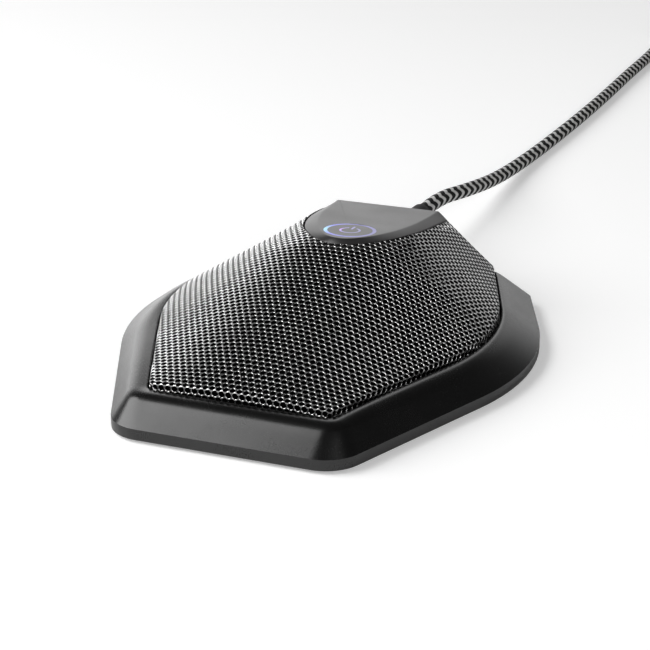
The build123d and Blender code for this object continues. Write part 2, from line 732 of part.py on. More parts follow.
CLAMP_Y = 42.0
with BuildPart() as cord_clamp:
    with BuildSketch(Plane.XY.offset(EXIT_Z + 0.1)):
        with Locations((0, CLAMP_Y)):
            RectangleRounded(15.6, 4.6, 0.8)
        with Locations((5.4, CLAMP_Y), (-5.4, CLAMP_Y)):
            Circle(1.05, mode=Mode.SUBTRACT)
    extrude(amount=3.0)
    with BuildSketch(Plane.XZ.offset(-(CLAMP_Y - 4.0))):
        with Locations((0, EXIT_Z)):
            Circle(LEAD_R)
    extrude(amount=-8.0, mode=Mode.SUBTRACT)
finish(cord_clamp.part, "cord_clamp")

with BuildPart() as clamp_screws:
    with BuildSketch(Plane.XY.offset(EXIT_Z + 3.1)):
        with Locations((5.4, CLAMP_Y), (-5.4, CLAMP_Y)):
            Circle(1.7)
    extrude(amount=1.0)
    with BuildSketch(Plane.XY.offset(EXIT_Z + 3.1)):
        with Locations((5.4, CLAMP_Y), (-5.4, CLAMP_Y)):
            Circle(0.85)
    extrude(amount=-8.0)
finish(clamp_screws.part, "clamp_screws")


def tangent_radii(points):
    """0.45 of the shorter run beside each corner, over the tangent of half its turn."""
    radii = []
    for before, corner, after in zip(points, points[1:], points[2:]):
        into = Vector(*corner) - Vector(*before)
        out = Vector(*after) - Vector(*corner)
        half_turn = math.radians(into.get_angle(out) / 2)
        radii.append(0.45 * min(into.length, out.length) / math.tan(half_turn))
    return radii


lead_radii = tangent_radii(ROUTE)
print("lead arc radii", [round(radius) for radius in lead_radii])
with BuildPart() as lead:
    with BuildLine() as lead_path:
        FilletPolyline(*ROUTE, radius=lead_radii)
    with BuildSketch(Plane(origin=ROUTE[0], z_dir=lead_path.line % 0)):
        Circle(LEAD_R)
    sweep(path=lead_path.line)
lead_length = lead_path.wires()[0].length
section_times_length = math.pi * LEAD_R**2 * lead_length
print("lead length", round(lead_length, 1), "volume over section times length", end=" ")
print(round(lead.part.volume / section_times_length, 4))
finish(lead.part, "lead")

# coil: one ring of the turns' outer shape with a straight tail at each end
COIL_IN = COIL_OUTER_TURN_R - (COIL_COLUMNS - 1) * 2 * LEAD_R - LEAD_R
COIL_OUT = COIL_OUTER_TURN_R + LEAD_R
COIL_H = COIL_ROWS * 2 * LEAD_R + TIE_T
with BuildPart() as cable_tie:
    with BuildSketch(Plane(origin=(COIL_X, COIL_Y, 0), x_dir=(0, 1, 0), z_dir=(1, 0, 0))):
        with Locations(((COIL_IN + COIL_OUT) / 2, COIL_H / 2)):
            Rectangle(COIL_OUT - COIL_IN + 0.4, COIL_H)
            Rectangle(COIL_OUT - COIL_IN + 0.4 - 2 * TIE_T, COIL_H - 2 * TIE_T, mode=Mode.SUBTRACT)
    extrude(amount=TIE_W / 2, both=True)
finish(cable_tie.part, "cable_tie")

with BuildPart() as lead_coil:
    with BuildSketch(Plane.XY):
        with Locations((COIL_X, COIL_Y)):
            Circle(COIL_OUT)
            Circle(COIL_IN, mode=Mode.SUBTRACT)
    extrude(amount=COIL_H)
    # squeezed in where the tie goes round it
    with BuildSketch(Plane.XY):
        with Locations((COIL_X, COIL_Y + COIL_IN + LEAD_R * COIL_COLUMNS)):
            Rectangle(TIE_W + 0.4, COIL_OUT)
    extrude(amount=COIL_H, mode=Mode.SUBTRACT)
    with BuildSketch(Plane(origin=(COIL_X, COIL_Y, 0), x_dir=(0, 1, 0), z_dir=(1, 0, 0))):
        with Locations(((COIL_IN + COIL_OUT) / 2, COIL_H / 2)):
            Rectangle(COIL_OUT - COIL_IN - 2 * TIE_T, COIL_H - 2 * TIE_T - 0.2)
    extrude(amount=TIE_W / 2 + 1.0, both=True)
    with BuildSketch(Plane.XZ.offset(-(COIL_Y - STUB))):
        with Locations((COIL_X - COIL_OUTER_TURN_R, LEAD_R), (COIL_X + COIL_OUTER_TURN_R, PLUG_Z)):
            Circle(LEAD_R)
    extrude(amount=-STUB)
finish(lead_coil.part, "lead_coil")

# ---------------------------------------------------------------- plug, pointing along -Y
PLUG_X = COIL_X + COIL_OUTER_TURN_R
PLUG_BACK_Y = COIL_Y - STUB
RELIEF_L = 11.0
BODY = (15.6, 20.0, 8.2)
SHELL = (12.0, 19.0, 4.5)
SHELL_T = 0.3
SHELL_OUT = 12.0
BODY_BACK_Y = PLUG_BACK_Y - RELIEF_L
BODY_FRONT_Y = BODY_BACK_Y - BODY[1]

with BuildPart() as plug_relief:
    with BuildSketch(Plane.XZ.offset(-PLUG_BACK_Y)):
        with Locations((PLUG_X, PLUG_Z)):
            Circle(2.5)
    with BuildSketch(Plane.XZ.offset(-BODY_BACK_Y)):
        with Locations((PLUG_X, PLUG_Z)):
            Circle(3.4)
    loft()
finish(plug_relief.part, "plug_relief")

with BuildPart() as plug_body:
    with BuildSketch(Plane.XZ.offset(-BODY_BACK_Y)):
        with Locations((PLUG_X, PLUG_Z)):
            RectangleRounded(BODY[0], BODY[2], 1.5)
    extrude(amount=BODY[1])
    with BuildSketch(Plane.XZ.offset(-BODY_FRONT_Y)):
        with Locations((PLUG_X, PLUG_Z)):
            Rectangle(SHELL[0], SHELL[2])
    extrude(amount=-(SHELL[1] - SHELL_OUT), mode=Mode.SUBTRACT)
finish(plug_body.part, "plug_body")

with BuildPart() as plug_shell:
    with BuildSketch(Plane.XZ.offset(-(BODY_FRONT_Y + SHELL[1] - SHELL_OUT))):
        with Locations((PLUG_X, PLUG_Z)):
            Rectangle(SHELL[0], SHELL[2])
            Rectangle(SHELL[0] - 2 * SHELL_T, SHELL[2] - 2 * SHELL_T, mode=Mode.SUBTRACT)
    extrude(amount=SHELL[1])
    # latch windows in both wide faces
    with BuildSketch(Plane.XY):
        with Locations((PLUG_X, BODY_FRONT_Y - SHELL_OUT / 2)):
            with GridLocations(4.6, 0, 2, 1):
                Rectangle(2.4, 2.4)
    extrude(amount=BODY[2] * 2, mode=Mode.SUBTRACT)
finish(plug_shell.part, "plug_shell")

TONGUE_Z = PLUG_Z - SHELL[2] / 2 + SHELL_T
with BuildPart() as plug_tongue:
    with BuildSketch(Plane.XZ.offset(-(BODY_FRONT_Y + SHELL[1] - SHELL_OUT))):
        with Locations((PLUG_X, TONGUE_Z + 0.95)):
            Rectangle(SHELL[0] - 2 * SHELL_T, 1.9)
    extrude(amount=SHELL[1] - 0.4)
finish(plug_tongue.part, "plug_tongue")

with BuildPart() as plug_contacts:
    with BuildSketch(Plane.XY.offset(TONGUE_Z + 1.9)):
        with Locations((PLUG_X, BODY_FRONT_Y - 6.0)):
            with GridLocations(2.5, 0, 4, 1):
                Rectangle(1.1, 10.0)
    extrude(amount=0.15)
finish(plug_contacts.part, "plug_contacts")
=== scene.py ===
"""Looks of the table-top conference microphone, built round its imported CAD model."""

import math

import bpy
import numpy as np
from mathutils import Matrix, Vector


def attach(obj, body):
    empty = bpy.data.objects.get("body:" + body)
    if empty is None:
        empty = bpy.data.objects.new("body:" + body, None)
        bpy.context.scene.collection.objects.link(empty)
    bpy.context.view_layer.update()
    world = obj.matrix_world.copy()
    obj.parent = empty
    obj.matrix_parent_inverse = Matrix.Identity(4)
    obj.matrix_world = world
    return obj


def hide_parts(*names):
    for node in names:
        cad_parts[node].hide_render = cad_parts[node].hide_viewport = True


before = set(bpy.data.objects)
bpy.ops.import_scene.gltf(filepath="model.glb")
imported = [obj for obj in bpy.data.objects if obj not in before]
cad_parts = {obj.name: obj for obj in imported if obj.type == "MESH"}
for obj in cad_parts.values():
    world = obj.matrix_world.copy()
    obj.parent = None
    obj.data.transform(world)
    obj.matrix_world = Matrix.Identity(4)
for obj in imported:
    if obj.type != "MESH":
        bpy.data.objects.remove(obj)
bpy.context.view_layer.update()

MM = 0.001
BODY = "root"

# ---------------------------------------------------------------- camera
VIEW_FROM = Vector((0.1409, -0.3604, 0.1670))
VIEW_ALONG = Vector((-0.3313, 0.8653, -0.3762))
VIEW_ROLL = math.radians(-0.15)
LENS = 97.8
SENSOR = 36.0


def add_camera():
    """Camera at the picture's angle, turned slightly about its own line of sight."""
    data = bpy.data.cameras.new("camera")
    data.lens = LENS
    data.sensor_width = SENSOR
    data.clip_start = 0.01
    data.clip_end = 50.0
    along = VIEW_ALONG.normalized()
    right = along.cross(Vector((0, 0, 1))).normalized()
    up = right.cross(along)
    turned_right = right * math.cos(VIEW_ROLL) + up * math.sin(VIEW_ROLL)
    turned_up = up * math.cos(VIEW_ROLL) - right * math.sin(VIEW_ROLL)
    camera = bpy.data.objects.new("camera", data)
    axes = Matrix((turned_right, turned_up, -along)).transposed()
    camera.matrix_world = Matrix.Translation(VIEW_FROM) @ axes.to_4x4()
    bpy.context.scene.collection.objects.link(camera)
    bpy.context.scene.camera = camera


add_camera()


# ---------------------------------------------------------------- mesh helpers
def add_mesh(name, points_mm, faces, material, smooth=True):
    """Mesh object from points in millimetres."""
    mesh = bpy.data.meshes.new(name)
    mesh.from_pydata([tuple(p) for p in np.asarray(points_mm) * MM], [], faces)
    mesh.update()
    mesh.shade_smooth() if smooth else mesh.shade_flat()
    mesh.materials.append(material)
    obj = bpy.data.objects.new(name, mesh)
    bpy.context.scene.collection.objects.link(obj)
    return obj


def stands_for(obj, slot, *nodes):
    """The piece rides on the body and stands for these CAD nodes, which are hidden. slot is not used."""
    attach(obj, BODY)
    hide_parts(*nodes)
    return obj


# ---------------------------------------------------------------- material helpers
class Recipe:
    """A node material under construction: short names for adding and linking nodes."""

    def __init__(self, name):
        self.material = bpy.data.materials.new(name)
        self.material.use_nodes = True
        self.tree = self.material.node_tree
        self.shader = self.tree.nodes["Principled BSDF"]

    def node(self, kind, links=None, **values):
        made = self.tree.nodes.new(kind)
        for key, value in values.items():
            if hasattr(made, key):
                setattr(made, key, value)
            else:
                made.inputs[key.replace("_", " ")].default_value = value
        for socket, source in (links or {}).items():
            self.tree.links.new(source, made.inputs[socket])
        return made

    def math(self, operation, first, second=None, third=None, clamp=False):
        made = self.node("ShaderNodeMath", operation=operation, use_clamp=clamp)
        for index, value in enumerate((first, second, third)):
            if value is None:
                continue
            if isinstance(value, (int, float)):
                made.inputs[index].default_value = value
            else:
                self.tree.links.new(value, made.inputs[index])
        return made.outputs[0]

    def place(self):
        return self.node("ShaderNodeTexCoord").outputs["Object"]

    def noise(self, scale, detail=2.0, vector=None, roughness=0.5):
        made = self.node("ShaderNodeTexNoise", Scale=scale, Detail=detail, Roughness=roughness)
        self.tree.links.new(vector or self.place(), made.inputs["Vector"])
        return made.outputs["Fac"]

    def spread(self, source, low, high, from_low=0.3, from_high=0.7):
        made = self.node("ShaderNodeMapRange", {"Value": source})
        made.inputs["From Min"].default_value = from_low
        made.inputs["From Max"].default_value = from_high
        made.inputs["To Min"].default_value = low
        made.inputs["To Max"].default_value = high
        return made.outputs["Result"]

    def blend(self, factor, first, second):
        made = self.node("ShaderNodeMix", data_type="RGBA")
        sockets = [s for s in made.inputs if s.type == "RGBA"]
        for socket, value in zip(sockets, (first, second)):
            if isinstance(value, tuple):
                socket.default_value = (*value, 1.0)
            else:
                self.tree.links.new(value, socket)
        self.tree.links.new(factor, made.inputs["Factor"])
        return [s for s in made.outputs if s.type == "RGBA"][0]

    def bump(self, height, distance_mm, strength=1.0):
        made = self.node("ShaderNodeBump", {"Height": height}, Strength=strength)
        made.inputs["Distance"].default_value = distance_mm * MM
        self.tree.links.new(made.outputs["Normal"], self.shader.inputs["Normal"])

    def set(self, **values):
        for key, value in values.items():
            socket = self.shader.inputs[key.replace("_", " ")]
            if isinstance(value, bpy.types.NodeSocket):
                self.tree.links.new(value, socket)
            else:
                socket.default_value = (*value, 1.0) if isinstance(value, tuple) else value
        return self


def shade(color, factor):
    return tuple(c * factor for c in color)


def moulded_plastic(name, color, roughness, grain_mm=0.25, depth_mm=0.004, shine=0.5):
    """Satin moulded plastic: spark-eroded grain, faint mottling, uneven gloss."""
    r = Recipe(name)
    grain = r.noise(1.0 / (grain_mm * MM), 3.0)
    patches = r.noise(90.0, 3.0)
    r.set(
        Base_Color=r.blend(r.spread(patches, 0.0, 1.0), shade(color, 0.88), shade(color, 1.12)),
        Roughness=r.spread(r.math("ADD", grain, patches), roughness - 0.04, roughness + 0.04, 0.7, 1.3),
        Specular_IOR_Level=shine,
    )
    r.bump(grain, depth_mm)
    return r.material


def soft_rubber(name, color):
    """Matt rubber with a powdery surface."""
    r = Recipe(name)
    dust = r.noise(1600.0, 4.0, roughness=0.7)
    r.set(
        Base_Color=r.blend(r.spread(dust, 0.0, 1.0), color, shade(color, 1.6)),
        Roughness=r.spread(dust, 0.62, 0.78),
        Specular_IOR_Level=0.3,
    )
    r.bump(dust, 0.01)
    return r.material


def bright_metal(name, color, roughness, stretch=(1.0, 1.0, 14.0)):
    """Drawn or plated metal with fine lines along one axis."""
    r = Recipe(name)
    lines = r.node("ShaderNodeMapping", {"Vector": r.place()}, Scale=stretch).outputs["Vector"]
    streak = r.noise(900.0, 3.0, lines)
    r.set(
        Base_Color=r.blend(r.spread(streak, 0.0, 1.0), shade(color, 0.85), color),
        Metallic=1.0,
        Roughness=r.spread(streak, roughness, roughness + 0.12),
    )
    r.bump(streak, 0.002)
    return r.material


# ---------------------------------------------------------------- the lead
LEAD_R = 2.05
EXIT_Z = 12.0
ROUTE = (
    (0.0, 82.0, EXIT_Z),
    (0.0, 96.0, 12.0),
    (3.0, 118.0, 8.4),
    (4.4, 146.0, 4.0),
    (6.2, 178.0, LEAD_R),
    (8.8, 208.0, LEAD_R),
    (11.0, 240.0, LEAD_R),
    (12.4, 270.0, LEAD_R),
    (13.4, 300.0, LEAD_R),
    (15.0, 328.0, LEAD_R),
    (15.0, 354.0, LEAD_R),
)
COIL_AT = (45.2, 372.0)
COIL_OUTER_R = 30.2
COIL_STEPS_OUT = 3
TURN_POINTS = 16
CLIMB_TURNS = 0.3
PLUG_X = COIL_AT[0] + COIL_OUTER_R
PLUG_END_Y = 354.0
PLUG_Z = 4.1
TIE_LIFT = 0.75

BRAID_STEP = 0.3
BRAID_AROUND = 48
BRAID_PITCH = 4.6
BRAID_ZIGZAG = 1.7
BRAID_LEGS = 8
BRAID_PEAK_AT = math.radians(8.7)
WHITE_SHARE = 0.42
STRANDS = 5
BRAID_RELIEF = 0.16


def coil_points():
    """Inwards along the bottom layer, up, and outwards along the top layer."""
    turns_in = COIL_STEPS_OUT + 0.75
    turns_total = 2 * COIL_STEPS_OUT + 1.5
    drawn_in = (1 + math.cos(2 * math.pi / TURN_POINTS)) / 2
    points = []
    for i in range(1, int(turns_total * TURN_POINTS) + 1):
        turn = i / TURN_POINTS
        inward = min(turn, COIL_STEPS_OUT)
        outward = min(max(turn - COIL_STEPS_OUT - 1, 0), COIL_STEPS_OUT)
        radius = COIL_OUTER_R - 2 * LEAD_R * (inward - outward)
        climb = min(max((turn - turns_in) / CLIMB_TURNS, 0), 1)
        angle = math.pi - 2 * math.pi * turn
        tied = max(0.0, math.sin(angle)) ** 6
        z = LEAD_R * (1 + 2 * climb) + TIE_LIFT * tied
        radius /= math.sqrt(drawn_in)
        x = COIL_AT[0] + radius * math.cos(angle)
        y = COIL_AT[1] + radius * math.sin(angle)
        points.append((x, y, z))
    return points


TAIL = (
    (PLUG_X, 367.0, 5.9),
    (PLUG_X, 361.0, PLUG_Z),
    (PLUG_X, PLUG_END_Y, PLUG_Z),
)


def spline_line(points_mm):
    """Points along a smooth NURBS line with these control points, in millimetres."""
    curve = bpy.data.curves.new("lead_line", "CURVE")
    curve.dimensions = "3D"
    curve.resolution_u = 12
    spline = curve.splines.new("NURBS")
    spline.points.add(len(points_mm) - 1)
    for point, at in zip(spline.points, points_mm):
        point.co = (*(c * MM for c in at), 1.0)
    spline.order_u = 3
    spline.use_endpoint_u = True
    obj = bpy.data.objects.new("lead_line", curve)
    mesh = bpy.data.meshes.new_from_object(obj)
    line = np.array([v.co[:] for v in mesh.vertices]) / MM
    bpy.data.objects.remove(obj)
    return line


def evenly_spaced(line, step):
    lengths = np.r_[0, np.cumsum(np.linalg.norm(np.diff(line, axis=0), axis=1))]
    places = np.linspace(0, lengths[-1], int(lengths[-1] / step) + 1)
    return places, np.stack([np.interp(places, lengths, line[:, k]) for k in range(3)], axis=1)


def carried_frames(line):
    """A side and an up direction at each point, carried along without twisting."""
    along = np.gradient(line, axis=0)
    along /= np.linalg.norm(along, axis=1)[:, None]
    side = np.array([1.0, 0.0, 0.0])
    sides = []
    for direction in along:
        side = side - direction * side.dot(direction)
        side /= np.linalg.norm(side)
        sides.append(side)
    sides = np.array(sides)
    return sides, np.cross(sides, along)


def braid_material():
    """Two-tone textile braid: bands that zigzag round the lead, made of fine yarns."""
    r = Recipe("lead_braid")
    uv = r.node("ShaderNodeUVMap", uv_map="strand").outputs["UV"]
    split = r.node("ShaderNodeSeparateXYZ", {"Vector": uv})
    legs = BRAID_LEGS / 2
    turned = r.math("MULTIPLY_ADD", split.outputs["X"], legs, -BRAID_PEAK_AT * legs / (2 * math.pi))
    wave = r.math("PINGPONG", turned, 0.5)
    shift = r.math("MULTIPLY", wave, 2 * BRAID_ZIGZAG)
    along = r.math("DIVIDE", r.math("ADD", split.outputs["Y"], shift), BRAID_PITCH)
    fraction = r.math("FRACT", along)
    frayed = r.math("ADD", fraction, r.math("MULTIPLY", r.noise(2600.0, 2.0), 0.05))
    white = r.math("LESS_THAN", frayed, WHITE_SHARE + 0.025)
    yarn = r.math("PINGPONG", r.math("MULTIPLY", along, STRANDS * 3.0), 0.5)
    fibre = r.noise(3800.0, 3.0, roughness=0.7)
    dark = r.blend(fibre, (0.003, 0.003, 0.003), (0.012, 0.012, 0.012))
    pale = r.blend(r.math("MULTIPLY", fibre, yarn), (0.62, 0.62, 0.61), (0.98, 0.97, 0.96))
    r.set(
        Base_Color=r.blend(white, dark, pale),
        Roughness=r.spread(fibre, 0.6, 0.8),
        Specular_IOR_Level=0.15,
    )
    r.bump(r.math("ADD", r.math("MULTIPLY", yarn, 1.2), fibre), 0.05)
    return r.material


def braided_tube(name, line, material):
    """Tube along the line whose surface swells at each strand and dips between the legs."""
    places, centres = evenly_spaced(line, BRAID_STEP)
    sides, ups = carried_frames(centres)
    angles = np.arange(BRAID_AROUND) * 2 * math.pi / BRAID_AROUND
    leg = (angles - BRAID_PEAK_AT) / (2 * math.pi) * BRAID_LEGS
    wave = np.abs((leg + 1) % 2 - 1)
    shifted = places[:, None] + BRAID_ZIGZAG * wave[None, :]
    strand = np.abs(np.sin(math.pi * shifted * STRANDS / BRAID_PITCH))
    middle_of_leg = np.sin(math.pi * (leg % 1.0))[None, :]
    swell = 0.5 * np.sqrt(strand) + 0.5 * np.sqrt(np.abs(middle_of_leg))
    radius = LEAD_R - BRAID_RELIEF * (1 - swell)
    out = sides[:, None, :] * np.cos(angles)[None, :, None] + ups[:, None, :] * np.sin(angles)[None, :, None]
    points = centres[:, None, :] + out * radius[:, :, None]
    rings = len(places)
    faces = []
    for i in range(rings - 1):
        for j in range(BRAID_AROUND):
            k = (j + 1) % BRAID_AROUND
            a, b = i * BRAID_AROUND, (i + 1) * BRAID_AROUND
            faces.append((a + j, b + j, b + k, a + k))
    faces.append(tuple(range(BRAID_AROUND)))
    faces.append(tuple((rings - 1) * BRAID_AROUND + j for j in reversed(range(BRAID_AROUND))))
    obj = add_mesh(name, points.reshape(-1, 3), faces, material)
    layer = obj.data.uv_layers.new(name="strand")
    uvs = np.zeros((len(obj.data.loops), 2))
    corner = 0
    for i in range(rings - 1):
        for j in range(BRAID_AROUND):
            u, w = j / BRAID_AROUND, (j + 1) / BRAID_AROUND
            uvs[corner : corner + 4] = (
                (u, places[i]),
                (u, places[i + 1]),
                (w, places[i + 1]),
                (w, places[i]),
            )
            corner += 4
    layer.data.foreach_set("uv", uvs.ravel())
    return obj


lead_line = spline_line([*ROUTE, *coil_points(), *TAIL])
lead = braided_tube("braided_lead", lead_line, braid_material())
stands_for(lead, "lead_braid", "lead", "lead_coil")


def tie_material():
    """Woven hook-and-loop strap."""
    r = Recipe("tie_fabric")
    weave = r.node("ShaderNodeTexWave", {"Vector": r.place()}, Scale=900.0, Distortion=1.5)
    fuzz = r.noise(3000.0, 4.0)
    r.set(
        Base_Color=r.blend(weave.outputs["Fac"], (0.012, 0.012, 0.013), (0.05, 0.05, 0.052)),
        Roughness=0.9,
        Sheen_Weight=0.5,
    )
    r.bump(r.math("ADD", weave.outputs["Fac"], fuzz), 0.12)
    return r.material


def strap_loop(low, high, corner, thickness, steps=6):
    """Rounded rectangular loop in the radial and upright plane: inner and outer points."""
    inner, outer = [], []
    centres = (
        (high[0] - corner, high[1] - corner, 0),
        (low[0] + corner, high[1] - corner, 90),
        (low[0] + corner, low[1] + corner, 180),
        (high[0] - corner, low[1] + corner, 270),
    )
    for cx, cz, start in centres:
        for i in range(steps + 1):
            angle = math.radians(start + 90 * i / steps)
            for ring, radius in ((inner, corner), (outer, corner + thickness)):
                ring.append((cx + radius * math.cos(angle), cz + radius * math.sin(angle)))
    return inner, outer


def add_tie():
    """Strap round the coil, with its end lapped over the top."""
    half = 5.0
    thickness = 0.6
    low = (COIL_OUTER_R - 2 * LEAD_R * COIL_STEPS_OUT - LEAD_R, thickness)
    high = (COIL_OUTER_R + LEAD_R, TIE_LIFT + 4 * LEAD_R + 0.1)
    inner, outer = strap_loop(low, high, 1.6, thickness)
    count = len(inner)
    points, faces = [], []
    for side in (-half, half):
        for ring in (inner, outer):
            points += [(COIL_AT[0] + side, COIL_AT[1] + a, z) for a, z in ring]
    for i in range(count):
        k = (i + 1) % count
        faces += [
            (i, k, count + k, count + i),
            (2 * count + i, 3 * count + i, 3 * count + k, 2 * count + k),
            (count + i, count + k, 3 * count + k, 3 * count + i),
            (i, 2 * count + i, 2 * count + k, k),
        ]
    lap_low, lap_high = low[0] + 3.0, high[0] - 4.0
    top = high[1] + thickness
    base = len(points)
    for y in (lap_low, lap_high):
        for x in (-half, half):
            for z in (top, top + thickness * 0.9):
                points.append((COIL_AT[0] + x, COIL_AT[1] + y, z))
    for quad in ((0, 1, 3, 2), (4, 6, 7, 5), (0, 4, 5, 1), (2, 3, 7, 6), (1, 5, 7, 3), (0, 2, 6, 4)):
        faces.append(tuple(base + q for q in quad))
    tie = add_mesh("lead_tie", points, faces, tie_material(), smooth=False)
    bevel = tie.modifiers.new("soft edges", "BEVEL")
    bevel.width = 0.2 * MM
    bevel.segments = 2
    return stands_for(tie, "tie_fabric", "cable_tie")


tie = add_tie()

# ---------------------------------------------------------------- the microphone's surfaces
# a plan is its right half's front, widest and rear corner, with their radii
SLOT = ((21.6, -45.0), (44.2, 10.3), (29.5, 53.4))
SLOT_RADII = (2.7, 56.0, 0.3)
GRILLE_GAP = 0.45
FRONT_Y = -44.0
PEAK_Y = 13.6
BACK_Y = 53.4
CREST_FRONT_Z = 11.2
CREST_PEAK_Z = 25.1
CREST_REAR_Z = 33.7
SKIRT_TOP_Z = 10.2
SKIRT_BOTTOM_Z = 7.1
CREST_ROUND_FRONT = 0.25
CREST_ROUND_REAR = 0.34
FLANK_POWER_FRONT = 1.22
FLANK_POWER_REAR = 0.78
PANEL_TIP_Y = 14.2
PANEL_TIP_Z = 26.45
PANEL_FALL = 0.0847
RING_Y = 24.9


def corner_arc(before, corner, after, radius, steps):
    """Points of the arc that rounds a corner."""
    into = (np.array(before) - corner) / np.linalg.norm(np.array(before) - corner)
    out = (np.array(after) - corner) / np.linalg.norm(np.array(after) - corner)
    half = math.acos(np.clip(into.dot(out), -1, 1)) / 2
    reach = radius / math.tan(half)
    middle = (into + out) / np.linalg.norm(into + out)
    centre = np.array(corner) + middle * radius / math.sin(half)
    first = np.array(corner) + into * reach - centre
    last = np.array(corner) + out * reach - centre
    sweep = math.pi - 2 * half
    points = []
    for i in range(steps + 1):
        t = i / steps
        blend = (first * math.sin((1 - t) * sweep) + last * math.sin(t * sweep)) / math.sin(sweep)
        points.append(centre + blend)
    return points


# where points are added along each straight side of an outline
EDGE_STEPS = (0.02, 0.06, 0.14, 0.28, 0.5, 0.72, 0.86, 0.94, 0.98)


def rounded_plan(corners, radii, steps=12):
    """Closed six-sided outline with rounded corners, anticlockwise seen from above."""
    front, wide, rear = (np.array(c) for c in corners)
    flip = np.array((-1, 1))
    loop = [front, wide, rear, rear * flip, wide * flip, front * flip]
    rounds = [radii[0], radii[1], radii[2], radii[2], radii[1], radii[0]]
    arcs = [corner_arc(loop[i - 1], loop[i], loop[(i + 1) % 6], rounds[i], steps) for i in range(6)]
    points = []
    for arc, after in zip(arcs, arcs[1:] + arcs[:1]):
        points += arc
        points += [arc[-1] + t * (after[0] - arc[-1]) for t in EDGE_STEPS]
    return np.array(points)


def smooth_half(points, steps=6):
    """Smooth symmetric line through these points of its right half, from back left to back right."""
    line = [np.array(p) for p in reversed(points)] + [np.array((-x, y)) for x, y in points[1:]]
    line = [line[0], *line, line[-1]]
    made = []
    for before, start, end, after in zip(line, line[1:], line[2:], line[3:]):
        for i in range(steps):
            t = i / steps
            made.append(
                start
                + 0.5 * t * (end - before)
                + t**2 * (before - 2.5 * start + 2 * end - 0.5 * after)
                + t**3 * (1.5 * (start - end) + 0.5 * (after - before))
            )
    return np.array([*made, line[-1]])[::-1]


def nearest_on(outline, points):
    """Nearest point of a closed anticlockwise outline, its outward normal and signed distance."""
    starts = outline
    edges = np.roll(outline, -1, axis=0) - starts
    square = (edges**2).sum(1)
    keep = square > 1e-12
    starts, edges, square = starts[keep], edges[keep], square[keep]
    best = np.full(len(points), np.inf)
    found = np.zeros((len(points), 2))
    normal = np.zeros((len(points), 2))
    inside = np.zeros(len(points), bool)
    for start, edge, size in zip(starts, edges, square):
        t = np.clip(((points - start) @ edge) / size, 0, 1)
        at = start + t[:, None] * edge
        distance = np.linalg.norm(points - at, axis=1)
        closer = distance < best - 1e-9
        best = np.where(closer, distance, best)
        found[closer] = at[closer]
        normal[closer] = np.array((edge[1], -edge[0])) / math.sqrt(size)
        crosses = (start[1] > points[:, 1]) != (start[1] + edge[1] > points[:, 1])
        with np.errstate(divide="ignore", invalid="ignore"):
            x_at = start[0] + (points[:, 1] - start[1]) * edge[0] / edge[1]
        inside ^= crosses & (points[:, 0] < x_at)
    away = points - found
    length = np.linalg.norm(away, axis=1)
    clear = length > 1e-6
    sign = np.where(inside, -1.0, 1.0)
    normal[clear] = away[clear] / length[clear, None] * sign[clear, None]
    return found, normal, best * sign


def half_width(y):
    """Half width of the grille slot at y: two straight sides joined by an arc."""
    front, wide, rear = SLOT
    radius = SLOT_RADII[1]
    lean_in = math.atan2(wide[0] - front[0], wide[1] - front[1])
    lean_out = math.atan2(wide[0] - rear[0], rear[1] - wide[1])
    tilt = (lean_out - lean_in) / 2
    reach = radius / math.cos((lean_in + lean_out) / 2)
    centre_x = wide[0] - reach * math.cos(tilt)
    centre_y = wide[1] - reach * math.sin(tilt)
    before = front[0] + (y - front[1]) * math.tan(lean_in)
    after = rear[0] + (rear[1] - y) * math.tan(lean_out)
    bulge = centre_x + np.sqrt(np.maximum(radius**2 - (y - centre_y) ** 2, 0))
    low = centre_y - radius * math.sin(lean_in)
    high = centre_y + radius * math.sin(lean_out)
    return np.where(y < low, before, np.where(y > high, after, bulge))


def dome_z(x, y):
    """Height of the grille's surface: two soft flanks that meet in a rounded crest."""
    ahead = (y - FRONT_Y) / (PEAK_Y - FRONT_Y)
    behind = (y - PEAK_Y) / (BACK_Y - PEAK_Y)
    in_front = y < PEAK_Y
    crest = np.where(
        in_front,
        CREST_FRONT_Z + (CREST_PEAK_Z - CREST_FRONT_Z) * ahead,
        CREST_PEAK_Z + (CREST_REAR_Z - CREST_PEAK_Z) * behind,
    )
    rounding = np.where(
        in_front, CREST_ROUND_FRONT + (CREST_ROUND_REAR - CREST_ROUND_FRONT) * ahead, CREST_ROUND_REAR
    )
    power = np.where(
        in_front, FLANK_POWER_FRONT, FLANK_POWER_FRONT + (FLANK_POWER_REAR - FLANK_POWER_FRONT) * behind
    )
    across = np.abs(x) / (half_width(y) - GRILLE_GAP)
    roof = (np.hypot(across, rounding) - rounding) / (np.hypot(1, rounding) - rounding)
    return crest - (crest - SKIRT_TOP_Z) * np.maximum(roof, 0) ** power


def inset_plan(outline, inset):
    """The outline moved inwards by inset along its own normals."""
    before = outline - np.roll(outline, 1, axis=0)
    after = np.roll(outline, -1, axis=0) - outline
    before[np.linalg.norm(before, axis=1) < 1e-9] = after[np.linalg.norm(before, axis=1) < 1e-9]
    before /= np.linalg.norm(before, axis=1)[:, None]
    after /= np.linalg.norm(after, axis=1)[:, None]
    along = before + after
    along /= np.linalg.norm(along, axis=1)[:, None]
    stretch = inset / np.maximum((along * before).sum(1), 0.3)
    return outline - np.column_stack([along[:, 1], -along[:, 0]]) * stretch[:, None]


# ---------------------------------------------------------------- case and panel
RIM = ((26.4, -54.3), (54.8, 10.5), (38.6, 54.3))
RIM_RADII = (9.3, 61.0, 2.4)
SHOULDER = ((23.9, -48.75), (47.4, 7.6), (30.3, 53.4))
SHOULDER_RADII = (3.8, 62.0, 0.9)
RIM_TOP = 3.4
SHOULDER_FRONT_Z = 9.6
SHOULDER_REAR_Z = 8.6
